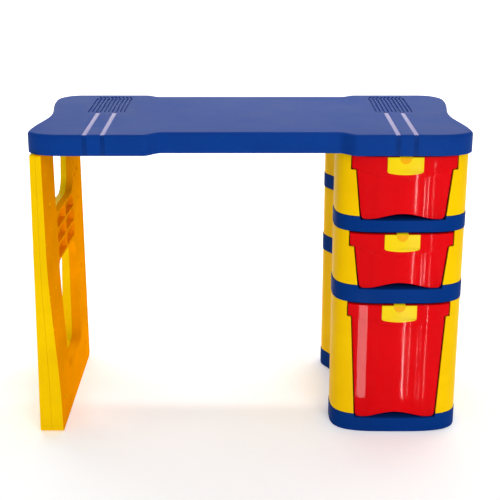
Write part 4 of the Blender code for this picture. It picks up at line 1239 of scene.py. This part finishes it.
def rim_section(tier):
    """Front view of the rim's face, deeper in the middle than at its ends, with rounded lower corners."""
    top, half = rim_top(tier), rim_half()
    body = half - FLANGE_WIDTH
    extra = RIM_MIDDLE_HEIGHT - RIM_END_HEIGHT
    lower = []
    for x in between(-body, body, 56):
        share = 1 - abs(x) / body
        lower.append((x, top - RIM_END_HEIGHT - extra * math.sin(share * math.pi / 2)))
    corner = (half - RIM_CORNER, top - RIM_END_HEIGHT + RIM_CORNER)
    right = arc(corner, (RIM_CORNER, RIM_CORNER), -90, 0, 6)
    left = arc((-corner[0], corner[1]), (RIM_CORNER, RIM_CORNER), 180, 270, 6)
    return tidy(left + lower + right + [(half, top), (-half, top)])


def make_bin(tier, sizes):
    level, height = tier_span(tier)
    top, half, back = rim_top(tier), rim_half(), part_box(f"{tier}_drawer_bin")[1].y
    front, past_back, above = BASE_LOW.y, back + BIN_PAST_BACK, height + PAST
    body = Moulding(flat_solid([bin_section(tier)], front - BIN_PAST_FRONT, back - 2 * FLUSH, "XZ"))
    body.keep(flat_solid([face_block(BIN_SETBACK, past_back, half, sizes.face_hollow)], -2 * PAST, above))
    rim = Moulding(flat_solid([rim_section(tier)], front - PAST, front + RIM_REACH, "XZ"))
    rim.keep(flat_solid([face_strip(RIM_SETBACK, RIM_SETBACK + RIM_BAND, half + RIM_PAST_END)], 0, above))
    body.join(rim)
    flange = face_block(RIM_SETBACK + RIM_BAND / 2, back, half - FLUSH)
    body.join(flat_solid([flange], top - FLANGE_THICKNESS, top - FLUSH))
    inside = Moulding(flat_solid([bin_hollow(tier, height)], front, back - BIN_WALL, "XZ"))
    cavity = face_block(BIN_SETBACK + BIN_WALL, past_back, half, sizes.face_hollow)
    body.cut(inside.keep(flat_solid([cavity], -PAST, above)))
    body.soften(sizes.bin_edge, 3, 50)
    place = (PEDESTAL_X, 0, level)
    node = f"{tier}_drawer_bin"
    body.piece(f"{tier}_bin", place, [plastic("glossy_red")], "red_plastic", f"{tier}_drawer", node)


def handle_plate(half, top, low):
    """Front view of a handle's plate, with a bowed lower edge and round lower corners."""
    reach = half - HANDLE_CORNER
    lower = [(x, low + HANDLE_DIP * (x / half) ** 2) for x in between(-reach, reach, 24)]
    lift = low + HANDLE_DIP + HANDLE_CORNER
    left = arc((-reach, lift), (HANDLE_CORNER, HANDLE_CORNER), 180, 262, 6)
    right = arc((reach, lift), (HANDLE_CORNER, HANDLE_CORNER), 278, 360, 6)
    return tidy(left + lower + right + [(half, top), (-half, top)])


def hook_profile(front, back, inside, top, hook_top):
    """Side view of the hook that holds a handle on the rim."""
    face, end = front - HOOK_PROUD, inside + HOOK_WALL
    return [
        (face, top - HOOK_LIP), (back, top - HOOK_LIP), (back, top + GAP), (inside, top + GAP),
        (inside, top - HOOK_LEG), (end, top - HOOK_LEG), (end, hook_top),
        (front + HOOK_CHAMFER[0], hook_top), (face, hook_top - HOOK_CHAMFER[1]),
    ]


def make_handle(tier):
    """A plate on the rim's face, with a hook over the rim and a half-round boss under the hook."""
    low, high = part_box(f"{tier}_drawer_handle")
    level, top = tier_span(tier)[0], rim_top(tier)
    back = BASE_LOW.y + RIM_SETBACK - GAP
    front = back - HANDLE_THICKNESS
    outline = handle_plate((high.x - low.x) / 2, top, low.z - level)
    plate = Moulding(flat_solid([outline], front, back, "XZ"))
    plate.soften(HANDLE_EDGE, 3, 50)
    profile = hook_profile(front, back, high.y - HOOK_WALL, top, high.z - level)
    plate.join(Moulding(flat_solid([profile], -HOOK_HALF, HOOK_HALF, "YZ")).soften(HOOK_EDGE, 2, 50))
    knob = arc((0, top - KNOB_DROP), (HOOK_HALF, KNOB_HEIGHT), 180, 360, 24)
    plate.join(Moulding(flat_solid([knob], front - KNOB_PROUD, back, "XZ")).soften(KNOB_EDGE, 3, 50))
    place = (PEDESTAL_X, 0, level)
    node = f"{tier}_drawer_handle"
    lemons = [plastic("glossy_lemon"), plastic("boss_yellow")]
    handle = plate.piece(f"{tier}_handle", place, lemons, "lemon_plastic", f"{tier}_drawer", node)
    # The boss's faces take the deeper second plastic: painted shade on the bump.
    for polygon in handle.data.polygons:
        if polygon.center.y < front - GAP and polygon.center.z < top - KNOB_DROP:
            polygon.material_index = 1


# ---------------------------------------------------------------- stage


def soft_light(name, place, target, size, power):
    """A rectangular soft light that faces its target."""
    light = bpy.data.lights.new(name, "AREA")
    light.shape = "RECTANGLE"
    light.size, light.size_y = size
    light.energy = power
    item = bpy.data.objects.new(name, light)
    item.location = place
    item.rotation_euler = (Vector(target) - Vector(place)).to_track_quat("-Z", "Y").to_euler()
    bpy.context.scene.collection.objects.link(item)
    return item


def make_floor():
    """A floor that curves up into a backdrop well behind the desk."""
    shape = bmesh.new()
    sweep = BACKDROP_Y - FLOOR_BEND
    turns = [math.radians(angle) for angle in between(5, 90, 17)]
    profile = [(-FLOOR_HALF, 0.0), (FLOOR_BEND, 0.0)]
    profile += [(FLOOR_BEND + sweep * math.sin(t), sweep * (1 - math.cos(t))) for t in turns]
    profile.append((BACKDROP_Y, BACKDROP_TOP))
    rows = [
        [shape.verts.new((x, y, z - FLOOR_DROP)) for y, z in profile] for x in (-FLOOR_HALF, FLOOR_HALF)
    ]
    for i in range(len(profile) - 1):
        shape.faces.new((rows[0][i], rows[1][i], rows[1][i + 1], rows[0][i + 1]))
    mesh = bpy.data.meshes.new("floor")
    shape.to_mesh(mesh)
    shape.free()
    mesh.materials.append(floor_white("pale_floor"))
    mesh.shade_smooth()
    floor = bpy.data.objects.new("floor", mesh)
    bpy.context.scene.collection.objects.link(floor)


def make_lights():
    """The sky, the soft lights, and the strips that only show as highlights on polished faces."""
    world = bpy.data.worlds.new("studio")
    world.use_nodes = True
    sky = world.node_tree.nodes["Background"]
    sky.inputs["Color"].default_value = (1, 1, 1, 1)
    sky.inputs["Strength"].default_value = SKY_STRENGTH
    bpy.context.scene.world = world
    for settings in SOFT_LIGHTS:
        soft_light(*settings)
    for number, (x, low, high, width, power) in enumerate(GLINTS, 1):
        middle = (low + high) / 2
        glint = soft_light(
            f"glint_light_{number}", (x, GLINT_Y, middle), (x, 0, middle), (width, high - low), power
        )
        glint.visible_camera = False
        glint.visible_diffuse = False


def make_camera():
    lens = bpy.data.cameras.new("camera")
    lens.sensor_width = CAMERA_SENSOR
    lens.lens = CAMERA_LENS
    camera = bpy.data.objects.new("camera", lens)
    camera.location = CAMERA_PLACE
    camera.rotation_euler = (math.radians(CAMERA_TILT), 0, 0)
    bpy.context.scene.collection.objects.link(camera)
    bpy.context.scene.camera = camera


def make_stage():
    make_floor()
    make_lights()
    make_camera()
    bpy.context.scene.view_settings.view_transform = "Standard"


# ---------------------------------------------------------------- add-on


class PLAYDESK_OT_desktop(bpy.types.Operator):
    """Builds the desktop with its fillet, stripes and grilles"""

    bl_idname = "play_desk.desktop"
    bl_label = "Desktop"

    def execute(self, context):
        make_desktop(context.scene.play_desk_sizes)
        return {"FINISHED"}


class PLAYDESK_OT_leg(bpy.types.Operator):
    """Builds the leg panel's two shells"""

    bl_idname = "play_desk.leg"
    bl_label = "Leg panel"

    def execute(self, context):
        make_leg(context.scene.play_desk_sizes)
        return {"FINISHED"}


class PLAYDESK_OT_bands(bpy.types.Operator):
    """Builds the pedestal's base and its two shelf bands"""

    bl_idname = "play_desk.bands"
    bl_label = "Pedestal bands"

    def execute(self, context):
        for node in ("pedestal_base", "lower_shelf", "upper_shelf"):
            make_band(f"{node}_band", node)
        return {"FINISHED"}


class PLAYDESK_OT_walls(bpy.types.Operator):
    """Builds the side walls and back boards of the three tiers"""

    bl_idname = "play_desk.walls"
    bl_label = "Pedestal walls"

    def execute(self, context):
        for tier in TIER_NAMES:
            for hand, side in HANDS:
                make_wall(tier, hand, side)
            make_back_board(tier)
        return {"FINISHED"}


class PLAYDESK_OT_drawers(bpy.types.Operator):
    """Builds the three drawer bins and their handles"""

    bl_idname = "play_desk.drawers"
    bl_label = "Drawers"

    def execute(self, context):
        for tier in TIER_NAMES:
            make_bin(tier, context.scene.play_desk_sizes)
            make_handle(tier)
        return {"FINISHED"}


class PLAYDESK_OT_screws(bpy.types.Operator):
    """Gives the frame's screws their zinc plate and smooth shading"""

    bl_idname = "play_desk.screws"
    bl_label = "Screws"

    def execute(self, context):
        screws = [item for name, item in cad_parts.items() if "screw" in name]
        if not screws:
            raise RuntimeError("the frame holds no screws")
        plate = zinc_plate("zinc_plate")
        for item in screws:
            item.data.materials.clear()
            item.data.materials.append(plate)
            item.data.shade_smooth()
        return {"FINISHED"}


class PLAYDESK_OT_stage(bpy.types.Operator):
    """Sets up the floor, the soft lights and the camera"""

    bl_idname = "play_desk.stage"
    bl_label = "Stage"

    def execute(self, context):
        make_stage()
        return {"FINISHED"}


STEPS = ("desktop", "leg", "bands", "walls", "drawers", "screws", "stage")


class PLAYDESK_PT_panel(bpy.types.Panel):
    """Lists the desk's pieces in the sidebar"""

    bl_idname = "PLAYDESK_PT_panel"
    bl_label = "Play Desk"
    bl_space_type = "VIEW_3D"
    bl_region_type = "UI"
    bl_category = "Play Desk"

    def draw(self, context):
        column = self.layout.column(align=True)
        for settings in (context.scene.play_desk_sizes, context.scene.play_desk_colours):
            for key in settings.bl_rna.properties.keys():
                if key not in ("rna_type", "name"):
                    column.prop(settings, key)
        for step in STEPS:
            column.operator(f"play_desk.{step}")


CLASSES = (
    PlayDeskSizes,
    PlayDeskColours,
    PLAYDESK_OT_desktop,
    PLAYDESK_OT_leg,
    PLAYDESK_OT_bands,
    PLAYDESK_OT_walls,
    PLAYDESK_OT_drawers,
    PLAYDESK_OT_screws,
    PLAYDESK_OT_stage,
    PLAYDESK_PT_panel,
)


def register():
    for item in CLASSES:
        bpy.utils.register_class(item)
    bpy.types.Scene.play_desk_sizes = PointerProperty(type=PlayDeskSizes)
    bpy.types.Scene.play_desk_colours = PointerProperty(type=PlayDeskColours)


def unregister():
    del bpy.types.Scene.play_desk_colours
    del bpy.types.Scene.play_desk_sizes
    for item in reversed(CLASSES):
        bpy.utils.unregister_class(item)


def main():
    register()
    for step in STEPS:
        getattr(bpy.ops.play_desk, step)()


if __name__ == "__main__":
    main()
